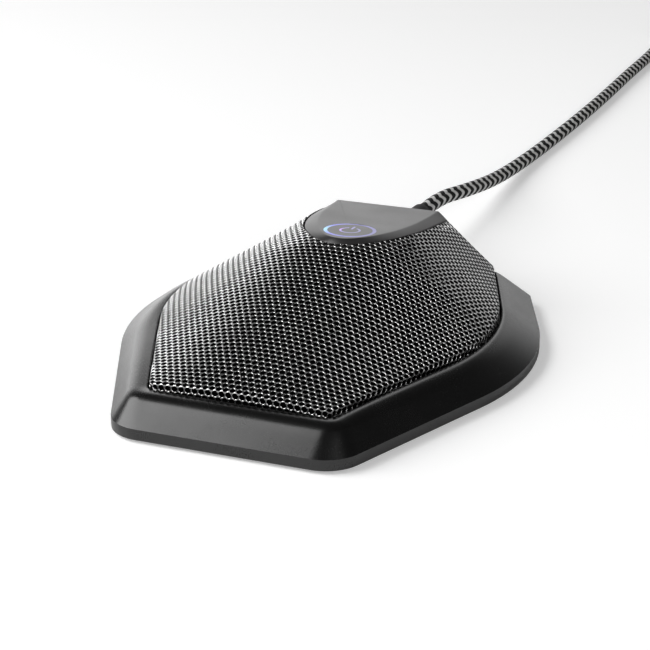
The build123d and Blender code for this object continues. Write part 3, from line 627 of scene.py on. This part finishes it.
# the ledge's dip towards the slot, and how far back the front's shape turns into the sides'
LEDGE_DIP_FRONT = 0.7
LEDGE_DIP_SIDE = 0.15
CORNER_SPAN = 14.0
# shares of the bevel and of the ledge where the rounding between them starts and ends
ROUND_FROM = 0.73
ROUND_TO = 0.82
ROUND_FROM_DROP = 0.08
ROUND_TO_DROP = 0.32
BEVEL_RINGS = (0.0, 0.03, 0.25, 0.5)
LIP_FROM = 0.06
LIP_DEPTH = 0.35
LIP_DEPTH_GAIN = 0.25
SLOT_DEPTH = 3.0
WALL_T = 2.2
WALL_HALF_W = 27.9
WALL_TOP = 18.6
WALL_BELOW_DOME = 1.1
WALL_FOOT_Z = RIM_TOP + 0.1
WALL_TOP_POINTS = 57
WALL_FOOT_POINTS = 30
SEAM_GAP = 0.05
LEAD_HOLE_R = 3.3


def bend(first, corner, last, steps):
    """Rings that turn from the first ring to the last round a soft corner."""
    rings = []
    for i in range(steps + 1):
        t = i / steps
        rings.append((1 - t) ** 2 * first + 2 * t * (1 - t) * corner + t**2 * last)
    return rings


def with_height(outline, heights):
    return np.column_stack([outline, np.broadcast_to(heights, len(outline))])


def joined_rings(rings, closed):
    """Points and quads of a skin through rings of equally many points."""
    count = len(rings[0])
    faces = []
    last = len(rings) if closed else len(rings) - 1
    for i in range(last):
        a, b = i * count, (i + 1) % len(rings) * count
        for j in range(count):
            k = (j + 1) % count
            faces.append((a + j, a + k, b + k, b + j))
    return np.vstack(rings), faces


def case_rings():
    """Rim, sloping bevel, softly rounded shoulder, dipping ledge, slot lip and underside."""
    rim = rounded_plan(RIM, RIM_RADII)
    shoulder = rounded_plan(SHOULDER, SHOULDER_RADII)
    slot = rounded_plan(SLOT, SLOT_RADII)
    fall = (SHOULDER_REAR_Z - SHOULDER_FRONT_Z) / (SHOULDER[2][1] - SHOULDER[0][1])
    edge = with_height(rim, RIM_TOP)
    crest = with_height(shoulder, SHOULDER_FRONT_Z + fall * (shoulder[:, 1] - SHOULDER[0][1]))
    along = np.clip((slot[:, 1] - SLOT[0][1]) / CORNER_SPAN, 0, 1)
    dip = LEDGE_DIP_FRONT + (LEDGE_DIP_SIDE - LEDGE_DIP_FRONT) * along
    lip = with_height(slot, SHOULDER_FRONT_Z + fall * (slot[:, 1] - SHOULDER[0][1]) - dip)
    down = np.array((0, 0, -1.0))
    bevel = [edge + t * (crest - edge) for t in BEVEL_RINGS]
    along = along[:, None]
    start = ROUND_FROM - ROUND_FROM_DROP * along
    end = ROUND_TO - ROUND_TO_DROP * along
    top = bend(edge + start * (crest - edge), crest, crest + end * (lip - crest), 10)
    lip_foot = lip + (LIP_DEPTH + LIP_DEPTH_GAIN * along) * down
    inner = bend(crest + (end + LIP_FROM) * (lip - crest), lip, lip_foot, 6)
    under = [lip + SLOT_DEPTH * down, with_height(inset_plan(rim, WALL_T), RIM_TOP + SEAM_GAP)]
    return [*bevel, *top, *inner, *under]


def holed_plate(outline, centre, radius):
    """A ring of points on a circle, one for each point of the outline round it."""
    away = outline - centre
    return centre + radius * away / np.linalg.norm(away, axis=1)[:, None]


def add_case():
    """The upper case: its skin through the rings, and the back wall with the lead's round hole."""
    points, faces = joined_rings(case_rings(), True)
    xs = np.linspace(WALL_HALF_W, -WALL_HALF_W, WALL_TOP_POINTS)
    under_dome = dome_z(xs, np.full(len(xs), BACK_Y - WALL_T)) - WALL_BELOW_DOME
    foot = np.linspace(-WALL_HALF_W, WALL_HALF_W, WALL_FOOT_POINTS)
    outline = np.vstack([with_height(xs, np.minimum(under_dome, WALL_TOP)), with_height(foot, WALL_FOOT_Z)])
    hole = holed_plate(outline, np.array((0, EXIT_Z)), LEAD_HOLE_R)
    rings = []
    for ring, y in ((outline, BACK_Y - WALL_T), (outline, BACK_Y), (hole, BACK_Y), (hole, BACK_Y - WALL_T)):
        rings.append(np.column_stack([ring[:, 0], np.full(len(ring), y), ring[:, 1]]))
    wall_points, wall_faces = joined_rings(rings, True)
    base = len(points)
    faces += [tuple(base + q for q in face) for face in wall_faces]
    case = add_mesh("upper_case", np.vstack([points, wall_points]), faces, CASE)
    split = case.modifiers.new("crisp edges", "EDGE_SPLIT")
    split.split_angle = math.radians(40)
    return stands_for(case, "case_plastic", "top_case")


PANEL_EDGE = (
    # share of the way from the flat top's edge to the skirt, share of the drop to the grille
    (-0.1, 0.0),
    (0.0, 0.0),
    (0.08, 0.02),
    (0.18, 0.1),
    (0.55, 0.5),
    (0.9, 0.92),
    (0.98, 1.05),
    (1.0, 1.25),
)
PANEL_SKIRT_DEPTH = 3.3
PANEL_LEAST_DROP = 0.2
PANEL_SINK = 0.3
PANEL_TOP = (
    # right half of the flat top's edge, from the tip to beyond the back
    (0.0, 16.7),
    (2.6, 17.5),
    (5.1, 20.1),
    (7.6, 24.1),
    (10.3, 30.2),
    (12.2, 38.0),
    (13.1, 46.0),
    (13.6, 56.0),
)
PANEL_SKIRT = (
    # right half of the upright skirt's outline, which the grille's opening follows
    (0.0, 15.2),
    (3.0, 15.7),
    (6.2, 17.5),
    (9.4, 21.0),
    (12.4, 26.0),
    (14.8, 34.0),
    (15.9, 43.0),
    (16.4, 56.0),
)
RING_HOLE_R = 6.52
RING_HOLE_DEPTH = 3.0


def add_panel():
    """Touch panel: flat top round the ring light, broad soft edge, upright skirt."""
    inner = smooth_half(PANEL_TOP)
    outer = smooth_half(PANEL_SKIRT)
    edge_y = np.minimum(outer[:, 1], BACK_Y)
    drop = PANEL_TIP_Z - PANEL_FALL * (edge_y - PANEL_TIP_Y) - dome_z(outer[:, 0], edge_y)
    drop = np.maximum(drop, PANEL_LEAST_DROP) + PANEL_SINK
    rings = []
    for share, depth in [*((a, b * drop) for a, b in PANEL_EDGE), (1.0, PANEL_SKIRT_DEPTH)]:
        ring = (1 - share) * inner + share * outer
        ring[:, 1] = np.minimum(ring[:, 1], BACK_Y - 0.01)
        level = PANEL_TIP_Z - PANEL_FALL * (ring[:, 1] - PANEL_TIP_Y)
        rings.append(with_height(ring, level - depth))
    hole = holed_plate(rings[0][:, :2], np.array((0, RING_Y)), RING_HOLE_R)
    hole = with_height(hole, PANEL_TIP_Z - PANEL_FALL * (hole[:, 1] - PANEL_TIP_Y))
    deep = hole - np.array((0, 0, RING_HOLE_DEPTH))
    points, faces = joined_rings([hole, *rings, deep], True)
    panel = add_mesh("panel_cap", points, [face[::-1] for face in faces], PANEL)
    split = panel.modifiers.new("crisp edges", "EDGE_SPLIT")
    split.split_angle = math.radians(50)
    return stands_for(panel, "panel_plastic", "touch_panel")


# ---------------------------------------------------------------- perforated grille
HOLE_PITCH = 1.6
HOLE_R = 0.68
HOLE_EDGE = 0.055
HOLE_DIP = 0.06
SHEET_T = 0.3
CLOTH_DROP = 1.4
ROW_STRETCH = 1.08
REAR_FOLD_FROM = 37.5
# half the width of the rounding where the sheet folds down to its skirt
FOLD = 0.55
CELL_SIDES = 12
CELLS_ACROSS = 36
ROW_ZERO_Y = FRONT_Y - 3
ROWS_AHEAD = 3
ROWS_SPARE = 8
KEEP_MARGIN = 6.0
KEEP_WIDTH = 1.25
THINNEST_CELL = 0.05
SMALLEST_FACE = 1e-4
ARC_SAMPLES = 90


def lay_on_dome(flat, outline, drop):
    """Carries points (distance across from the crest, y) over the dome and down its skirt."""
    y = flat[:, 1]
    x = np.zeros(len(flat))
    for row in np.unique(np.round(y, 2)):
        picked = np.abs(np.round(y, 2) - row) < 1e-6
        wide = float(half_width(row)) - GRILLE_GAP
        xs = np.linspace(0, wide, ARC_SAMPLES)
        zs = dome_z(xs, np.full(ARC_SAMPLES, row))
        lengths = np.r_[0, np.cumsum(np.hypot(np.diff(xs), np.diff(zs)))]
        across = np.abs(flat[picked, 0])
        over = np.maximum(across - lengths[-1], 0)
        x[picked] = np.sign(flat[picked, 0]) * (np.interp(across, lengths, xs) + over)
    plan = np.stack([x, y], axis=1)
    edge, normal, distance = nearest_on(outline, plan)
    edge_z = dome_z(edge[:, 0], edge[:, 1])
    lowest = edge_z - SKIRT_BOTTOM_Z
    beyond = distance >= lowest
    fallen = np.minimum(np.maximum(distance, FOLD), lowest)
    skirt = np.column_stack([edge, edge_z - fallen])
    top = np.column_stack([plan, dome_z(plan[:, 0], plan[:, 1])])
    inner_plan = edge - FOLD * normal
    inner = np.column_stack([inner_plan, dome_z(inner_plan[:, 0], inner_plan[:, 1])])
    crease = np.column_stack([edge, edge_z])
    outer = np.column_stack([edge, edge_z - FOLD])
    t = np.clip((distance + FOLD) / (2 * FOLD), 0, 1)[:, None]
    fold = (1 - t) ** 2 * inner + 2 * t * (1 - t) * crease + t**2 * outer
    at_side = distance > -FOLD
    points = np.where(at_side[:, None], fold, top)
    points = np.where((distance > FOLD)[:, None], skirt, points)
    step = 0.05
    slope_x = (dome_z(plan[:, 0] + step, plan[:, 1]) - dome_z(plan[:, 0] - step, plan[:, 1])) / (2 * step)
    slope_y = (dome_z(plan[:, 0], plan[:, 1] + step) - dome_z(plan[:, 0], plan[:, 1] - step)) / (2 * step)
    up = np.column_stack([-slope_x, -slope_y, np.ones(len(plan))])
    up /= np.linalg.norm(up, axis=1)[:, None]
    side = np.column_stack([normal, np.zeros(len(plan))])
    out = np.where(at_side[:, None], (1 - t) * up + t * side, up)
    out /= np.linalg.norm(out, axis=1)[:, None]
    return points - out * drop, out, beyond


def push_off_panel(flat_plan, outline, gap):
    """How far inside the panel's cut-out each plan point is, and where it belongs if it is."""
    moved = flat_plan.copy()
    first = None
    for _ in range(3):
        edge, normal, distance = nearest_on(outline, moved)
        short = gap - distance
        if first is None:
            first = short
        moved = moved + normal * np.maximum(short, 0)[:, None] * (first > 0)[:, None]
    return first, moved


def cell(centre, radii):
    """Rings of points round a lattice cell; a radius of None is the cell's own hexagon."""
    rings = []
    for radius in radii:
        for k in range(CELL_SIDES):
            angle = 2 * math.pi * k / CELL_SIDES
            reach = HOLE_PITCH / 2 / (1.0 if k % 2 == 0 else math.cos(math.pi / 6))
            reach = reach if radius is None else radius
            across, along = reach * math.cos(angle), reach * math.sin(angle) * ROW_STRETCH
            rings.append((centre[0] + across, centre[1] + along))
    return rings


def doubled_area(corners):
    """Cross product whose length is twice the area of a triangle or a quad."""
    normal = np.cross(corners[1] - corners[0], corners[2] - corners[0])
    if len(corners) == 4:
        normal = normal + np.cross(corners[2] - corners[0], corners[3] - corners[0])
    return normal


def face_area(corners):
    """Area of a triangle, or of a quad as two triangles."""
    halves = [corners[:3]] if len(corners) == 3 else [corners[:3], corners[[0, 2, 3]]]
    return sum(np.linalg.norm(doubled_area(half)) / 2 for half in halves)


def lattice_sheet(holes, drop, thickness, gap):
    """Sheet over the dome made of hexagonal cells, with or without a hole in each.

    Returns its points, its faces, its area, and how many of the faces are on top."""
    outline = inset_plan(rounded_plan(SLOT, SLOT_RADII), GRILLE_GAP)
    panel = smooth_half(PANEL_SKIRT)
    radii = (None, HOLE_R + HOLE_EDGE, HOLE_R) if holes else (None, 0.0)
    row_step = HOLE_PITCH * math.cos(math.pi / 6) * ROW_STRETCH
    rows = int((BACK_Y - FRONT_Y) / row_step) + ROWS_SPARE
    flat = []
    for j in range(-ROWS_AHEAD, rows):
        for i in range(-CELLS_ACROSS, CELLS_ACROSS + 1):
            at = ((i + 0.5 * (j % 2)) * HOLE_PITCH, ROW_ZERO_Y + j * row_step)
            flat += cell(at, radii)
    flat = np.array(flat)
    # at the back the sheet ends in line with the wall, but not beyond its ends
    beside_wall = np.abs(flat[:, 0]) > REAR_FOLD_FROM
    flat[:, 1] = np.where(beside_wall, flat[:, 1], np.minimum(flat[:, 1], BACK_Y - GRILLE_GAP))
    per_cell = CELL_SIDES * len(radii)
    # only the cells that are near the sheet are worked on
    rough_x = np.abs(flat[:, 0]).reshape(-1, per_cell).min(1)
    rough_y = flat[:, 1].reshape(-1, per_cell)
    wide = half_width(np.clip(rough_y.mean(1), FRONT_Y - 2, BACK_Y))
    wanted = (rough_x < wide * KEEP_WIDTH + KEEP_MARGIN) & (rough_y.max(1) > FRONT_Y - KEEP_MARGIN)
    wanted &= rough_y.max(1) - rough_y.min(1) > THINNEST_CELL
    flat = flat.reshape(-1, per_cell, 2)[wanted].reshape(-1, 2)
    points, out, beyond = lay_on_dome(flat, outline, drop)
    inside, moved = push_off_panel(points[:, :2], panel, gap)
    shifted = inside > 0
    moved_z = dome_z(moved[:, 0], moved[:, 1]) - drop
    points[shifted] = np.column_stack([moved, moved_z])[shifted]
    gone = (beyond | shifted).reshape(-1, per_cell).all(1)
    kept = np.repeat(~gone, per_cell)
    points, out = points[kept], out[kept]
    dip = np.tile(np.repeat([0.0, 0.0, HOLE_DIP][: len(radii)], CELL_SIDES), len(points) // per_cell)
    upper = points - out * dip[:, None]
    lower = points - out * thickness
    keys, first_of, ids = np.unique(np.round(upper, 3), axis=0, return_index=True, return_inverse=True)
    ids = ids.ravel()
    faces = []
    for c in range(len(points) // per_cell):
        base = c * per_cell
        for ring in range(len(radii) - 1):
            for k in range(CELL_SIDES):
                a, b = base + ring * CELL_SIDES + k, base + ring * CELL_SIDES + (k + 1) % CELL_SIDES
                quad = [ids[a], ids[b], ids[b + CELL_SIDES], ids[a + CELL_SIDES]]
                quad = [q for n, q in enumerate(quad) if q != quad[n - 1]]
                if len(set(quad)) == len(quad) >= 3:
                    if np.linalg.norm(doubled_area(keys[quad])) > SMALLEST_FACE:
                        faces.append(tuple(quad))
    edges = dict.fromkeys((face[n - 1], q) for face in faces for n, q in enumerate(face))
    count = len(keys)
    below = [tuple(count + q for q in reversed(face)) for face in faces]
    walls = [(b, a, count + a, count + b) for a, b in edges if (b, a) not in edges]
    area = sum(face_area(keys[list(face)]) for face in faces)
    return np.vstack([keys, lower[first_of]]), faces + below + walls, area, len(faces)


def grille_material():
    """Blackened steel sheet, its tone varying in random patches."""
    r = Recipe("grille_steel")
    patches = r.noise(500.0, 3.0)
    fine = r.noise(5000.0, 2.0)
    r.set(
        Base_Color=r.blend(r.spread(patches, 0.0, 1.0), (0.47, 0.47, 0.47), (0.66, 0.66, 0.66)),
        Metallic=1.0,
        Roughness=r.spread(fine, 0.2, 0.3),
    )
    r.bump(fine, 0.006)
    return r.material


def punched_wall_material():
    """Walls of the holes and back of the sheet: dull black."""
    r = Recipe("grille_inside")
    fine = r.noise(3000.0, 2.0)
    r.set(
        Base_Color=r.blend(fine, (0.004, 0.004, 0.004), (0.008, 0.008, 0.008)),
        Roughness=r.spread(fine, 0.5, 0.6),
        Specular_IOR_Level=0.1,
    )
    r.bump(fine, 0.004)
    return r.material


def cloth_material():
    """Black acoustic cloth: a tight plain weave with hardly any shine."""
    r = Recipe("cloth")
    threads = r.node("ShaderNodeTexVoronoi", {"Vector": r.place()}, Scale=2600.0)
    r.set(
        Base_Color=r.blend(threads.outputs["Distance"], (0.001, 0.001, 0.001), (0.003, 0.003, 0.003)),
        Roughness=0.95,
        Specular_IOR_Level=0.0,
    )
    r.bump(threads.outputs["Distance"], 0.08)
    return r.material


points, faces, _, face_count = lattice_sheet(True, 0.0, SHEET_T, GRILLE_GAP)
grille = add_mesh("perforated_grille", points, faces, grille_material(), smooth=False)
grille.data.materials.append(punched_wall_material())
within = [0] * face_count + [1] * (len(faces) - face_count)
grille.data.polygons.foreach_set("material_index", within)
stands_for(grille, "grille_steel", "grille")
points, faces, cloth_area, _ = lattice_sheet(False, CLOTH_DROP, SHEET_T, 2 * GRILLE_GAP)
cloth = stands_for(add_mesh("acoustic_cloth", points, faces, cloth_material()), "cloth", "dust_cloth")


# ---------------------------------------------------------------- carried-over CAD pieces
CASE = moulded_plastic("case_plastic", (0.0042, 0.0042, 0.0042), 0.25)
BASE = moulded_plastic("base_plastic", (0.026, 0.026, 0.026), 0.3)
PANEL = moulded_plastic("panel_plastic", (0.026, 0.025, 0.0255), 0.33, 0.15, 0.002, 0.42)
INNER = moulded_plastic("inner_plastic", (0.04, 0.04, 0.042), 0.5)
PLUG = moulded_plastic("plug_plastic", (0.018, 0.018, 0.018), 0.42)
WHITE = moulded_plastic("white_plastic", (0.75, 0.75, 0.72), 0.4)
CHIP = moulded_plastic("chip_plastic", (0.02, 0.02, 0.02), 0.55)
LED = moulded_plastic("led_plastic", (0.8, 0.8, 0.74), 0.25)
WIRE = moulded_plastic("wire_plastic", (0.5, 0.03, 0.02), 0.35)
RIBBON = moulded_plastic("ribbon_plastic", (0.6, 0.4, 0.12), 0.3)
PAD = soft_rubber("pad_rubber", (0.018, 0.018, 0.019))
RELIEF = soft_rubber("relief_rubber", (0.01, 0.01, 0.0105))
FOAM = soft_rubber("conductive_foam", (0.05, 0.05, 0.055))
PLATE = bright_metal("steel_plate", (0.5, 0.51, 0.52), 0.35)
SCREWS = bright_metal("screw_steel", (0.55, 0.55, 0.54), 0.28)
CAN = bright_metal("can_metal", (0.72, 0.73, 0.74), 0.25)
SHELL = bright_metal("plug_metal", (0.72, 0.73, 0.74), 0.16, (1.0, 14.0, 1.0))
GOLD = bright_metal("contact_gold", (0.83, 0.61, 0.24), 0.22)


def board_material():
    """Green solder mask over a faint pattern of copper areas."""
    r = Recipe("circuit_board")
    copper = r.node("ShaderNodeTexVoronoi", {"Vector": r.place()}, Scale=260.0, distance="MANHATTAN")
    r.set(
        Base_Color=r.blend(
            r.spread(copper.outputs["Distance"], 0.0, 1.0, 0.3, 0.5), (0.01, 0.12, 0.05), (0.02, 0.2, 0.08)
        ),
        Roughness=0.3,
        Coat_Weight=0.4,
    )
    r.bump(copper.outputs["Distance"], 0.03)
    return r.material


def glow_and_painted_highlight(name, painted_highlight_at, near, middle, far, reach_mm, strength):
    """Translucent moulding that glows, with a painted highlight: its emission is brightest at one spot on
    the side the key light comes from and fades along its length.
    """
    r = Recipe(name)
    away = r.node("ShaderNodeVectorMath", {0: r.place()}, operation="DISTANCE")
    away.inputs[1].default_value = tuple(c * MM for c in painted_highlight_at)
    distance = r.math("DIVIDE", away.outputs["Value"], reach_mm * MM, clamp=True)
    # emission colour: painted highlight at the spot, fading into the plain glow further away
    first = r.blend(r.spread(distance, 0.0, 1.0, 0.0, 0.35), near, middle)
    glow = r.blend(r.spread(distance, 0.0, 1.0, 0.35, 1.0), first, far)
    grain = r.noise(2500.0, 2.0)
    r.set(
        Base_Color=r.blend(grain, (0.07, 0.07, 0.1), (0.1, 0.1, 0.14)),
        Roughness=r.spread(grain, 0.28, 0.36),
        Emission_Color=glow,
        Emission_Strength=strength,
    )
    r.bump(grain, 0.002)
    return r.material


RING_R = 6.05
RING_Z = PANEL_TIP_Z - PANEL_FALL * (RING_Y - PANEL_TIP_Y)
# the ring's glow is real; its brightening at the left front, the key light's side, is a painted highlight
RING = glow_and_painted_highlight(
    "ring_light",
    painted_highlight_at=(-RING_R, RING_Y - 1.5, RING_Z),
    near=(0.35, 0.85, 1.0),
    middle=(0.12, 0.12, 0.75),
    far=(0.1, 0.09, 0.3),
    reach_mm=13.0,
    strength=0.75,
)
# the icon's glow is real; its brightening on its left, the key light's side, is a painted highlight
ICON = glow_and_painted_highlight(
    "icon_light",
    painted_highlight_at=(-2.4, RING_Y, RING_Z),
    near=(0.4, 0.18, 0.6),
    middle=(0.16, 0.13, 0.4),
    far=(0.1, 0.1, 0.24),
    reach_mm=5.0,
    strength=1.2,
)

FINISHES = {
    "bottom_cover": (BASE, 0.3),
    "touch_disc": (PANEL, 0.0),
    "ring_light_guide": (RING, 0.0),
    "power_icon_lens": (ICON, 0.0),
    "nonslip_pad": (PAD, 0.3),
    "strain_relief": (RELIEF, 0.2),
    "plug_relief": (RELIEF, 0.2),
    "plug_body": (PLUG, 0.3),
    "plug_shell": (SHELL, 0.0),
    "plug_tongue": (WHITE, 0.0),
    "plug_contacts": (GOLD, 0.0),
    "ballast_plate": (PLATE, 0.2),
    "case_screws": (SCREWS, 0.1),
    "carrier_screws": (SCREWS, 0.1),
    "board_screws": (SCREWS, 0.1),
    "holder_screws": (SCREWS, 0.1),
    "clamp_screws": (SCREWS, 0.1),
    "grille_retainer": (INNER, 0.0),
    "panel_carrier": (INNER, 0.0),
    "capsule_holder": (INNER, 0.0),
    "cord_clamp": (INNER, 0.0),
    "touch_pad_foam": (FOAM, 0.0),
    "capsule_boot": (FOAM, 0.0),
    "touch_board": (board_material(), 0.0),
    "ring_leds": (LED, 0.0),
    "usb_audio_chip": (CHIP, 0.0),
    "capacitors": (CAN, 0.0),
    "crystal": (CAN, 0.0),
    "mic_capsule": (CAN, 0.0),
    "cable_header": (WHITE, 0.0),
    "cable_connector": (WHITE, 0.0),
    "inner_lead": (PLUG, 0.0),
    "ribbon_lead": (RIBBON, 0.0),
    "capsule_leads": (WIRE, 0.0),
}
FINISHES["main_board"] = FINISHES["touch_board"]


def dress(node, material, edge_mm):
    """Gives a CAD node its material and, where it is seen close up, softened edges."""
    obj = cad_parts[node]
    obj.data.materials.clear()
    obj.data.materials.append(material)
    if edge_mm:
        weld = obj.modifiers.new("weld", "WELD")
        weld.merge_threshold = 0.002 * MM
        bevel = obj.modifiers.new("soft edges", "BEVEL")
        bevel.width = edge_mm * MM
        bevel.segments = 3
        bevel.limit_method = "ANGLE"
        bevel.angle_limit = math.radians(28)
        bevel.harden_normals = True


for node, (material, edge_mm) in FINISHES.items():
    dress(node, material, edge_mm)
add_case()
add_panel()


# ---------------------------------------------------------------- floor and light
FLOOR_LIFT = 0.33
FLOOR_GLOW = 1.0
FLOOR_HALF_M = 4.0
BACKDROP_LEFT = 1.75
BACKDROP_MIDDLE = 0.85
SURROUND = 0.05


def add_floor():
    """Pale seamless floor; what the camera sees of it is lifted to white, as in a studio cut-out.

    To the left and behind it also glows, in reflections only, like a backdrop that curves up."""
    r = Recipe("floor")
    mottle = r.noise(3.0, 2.0)
    seen = r.node("ShaderNodeLightPath").outputs["Is Camera Ray"]
    at = r.node("ShaderNodeSeparateXYZ", {"Vector": r.place()})
    leftwards = r.spread(at.outputs["X"], FLOOR_GLOW, 0.0, -0.08, -0.05)
    backwards = r.spread(at.outputs["Y"], 0.0, 1.0, -0.08, 0.08)
    glow = r.math("MULTIPLY", leftwards, backwards)
    unseen = r.math("SUBTRACT", 1.0, seen)
    lift = r.math("MULTIPLY_ADD", seen, FLOOR_LIFT, r.math("MULTIPLY", glow, unseen))
    r.set(
        Base_Color=r.blend(mottle, (0.8, 0.8, 0.8), (0.84, 0.84, 0.84)),
        Roughness=0.8,
        Specular_IOR_Level=0.1,
        Emission_Color=(1.0, 1.0, 1.0),
        Emission_Strength=lift,
    )
    size = FLOOR_HALF_M / MM
    floor = add_mesh(
        "floor",
        ((-size, -size, 0), (size, -size, 0), (size, size, 0), (-size, size, 0)),
        [(0, 1, 2, 3)],
        r.material,
    )


def add_light(name, direction, distance, size, power):
    """Rectangular soft light that faces the microphone."""
    data = bpy.data.lights.new(name, "AREA")
    data.shape = "RECTANGLE"
    data.size, data.size_y = size
    data.energy = power
    light = bpy.data.objects.new(name, data)
    place = Vector(direction).normalized() * distance
    light.location = place
    light.rotation_mode = "QUATERNION"
    light.rotation_quaternion = (-place).to_track_quat("-Z", "Y")
    bpy.context.scene.collection.objects.link(light)


def add_world():
    """Studio surroundings: a bright low band at the back, brightest to the left, dark overhead."""
    world = bpy.data.worlds.new("studio")
    world.use_nodes = True
    tree = world.node_tree
    background = tree.nodes["Background"]
    place = tree.nodes.new("ShaderNodeTexCoord")
    split = tree.nodes.new("ShaderNodeSeparateXYZ")
    tree.links.new(place.outputs["Generated"], split.inputs[0])

    def ramp(source, low, high, start, end):
        made = tree.nodes.new("ShaderNodeMapRange")
        made.interpolation_type = "SMOOTHSTEP"
        for name, value in (("From Min", low), ("From Max", high), ("To Min", start), ("To Max", end)):
            made.inputs[name].default_value = value
        tree.links.new(source, made.inputs["Value"])
        return made.outputs["Result"]

    def combine(operation, first, second):
        made = tree.nodes.new("ShaderNodeMath")
        made.operation = operation
        for index, value in enumerate((first, second)):
            if isinstance(value, float):
                made.inputs[index].default_value = value
            else:
                tree.links.new(value, made.inputs[index])
        return made.outputs[0]

    low_down = ramp(split.outputs["Z"], 0.35, 0.56, 1.0, 0.0)
    behind = ramp(split.outputs["Y"], 0.1, 0.55, 0.0, 1.0)
    sideways = ramp(split.outputs["X"], -0.6, 0.1, BACKDROP_LEFT, BACKDROP_MIDDLE)
    right = ramp(split.outputs["X"], 0.08, 0.45, 1.0, 0.1)
    band = combine("MULTIPLY", combine("MULTIPLY", low_down, behind), combine("MULTIPLY", sideways, right))
    level = combine("ADD", band, SURROUND)
    seen = tree.nodes.new("ShaderNodeLightPath").outputs["Is Camera Ray"]
    tree.links.new(combine("MAXIMUM", level, seen), background.inputs["Strength"])
    background.inputs["Color"].default_value = (1.0, 1.0, 1.0, 1.0)
    bpy.context.scene.world = world


add_floor()
add_light("key", (-0.9, -0.46, 0.8), 1.15, (0.9, 0.9), 15.5)
add_light("fill", (0.75, -0.85, 0.55), 1.3, (0.8, 0.6), 6.0)
add_world()
bpy.context.scene.view_settings.view_transform = "Standard"
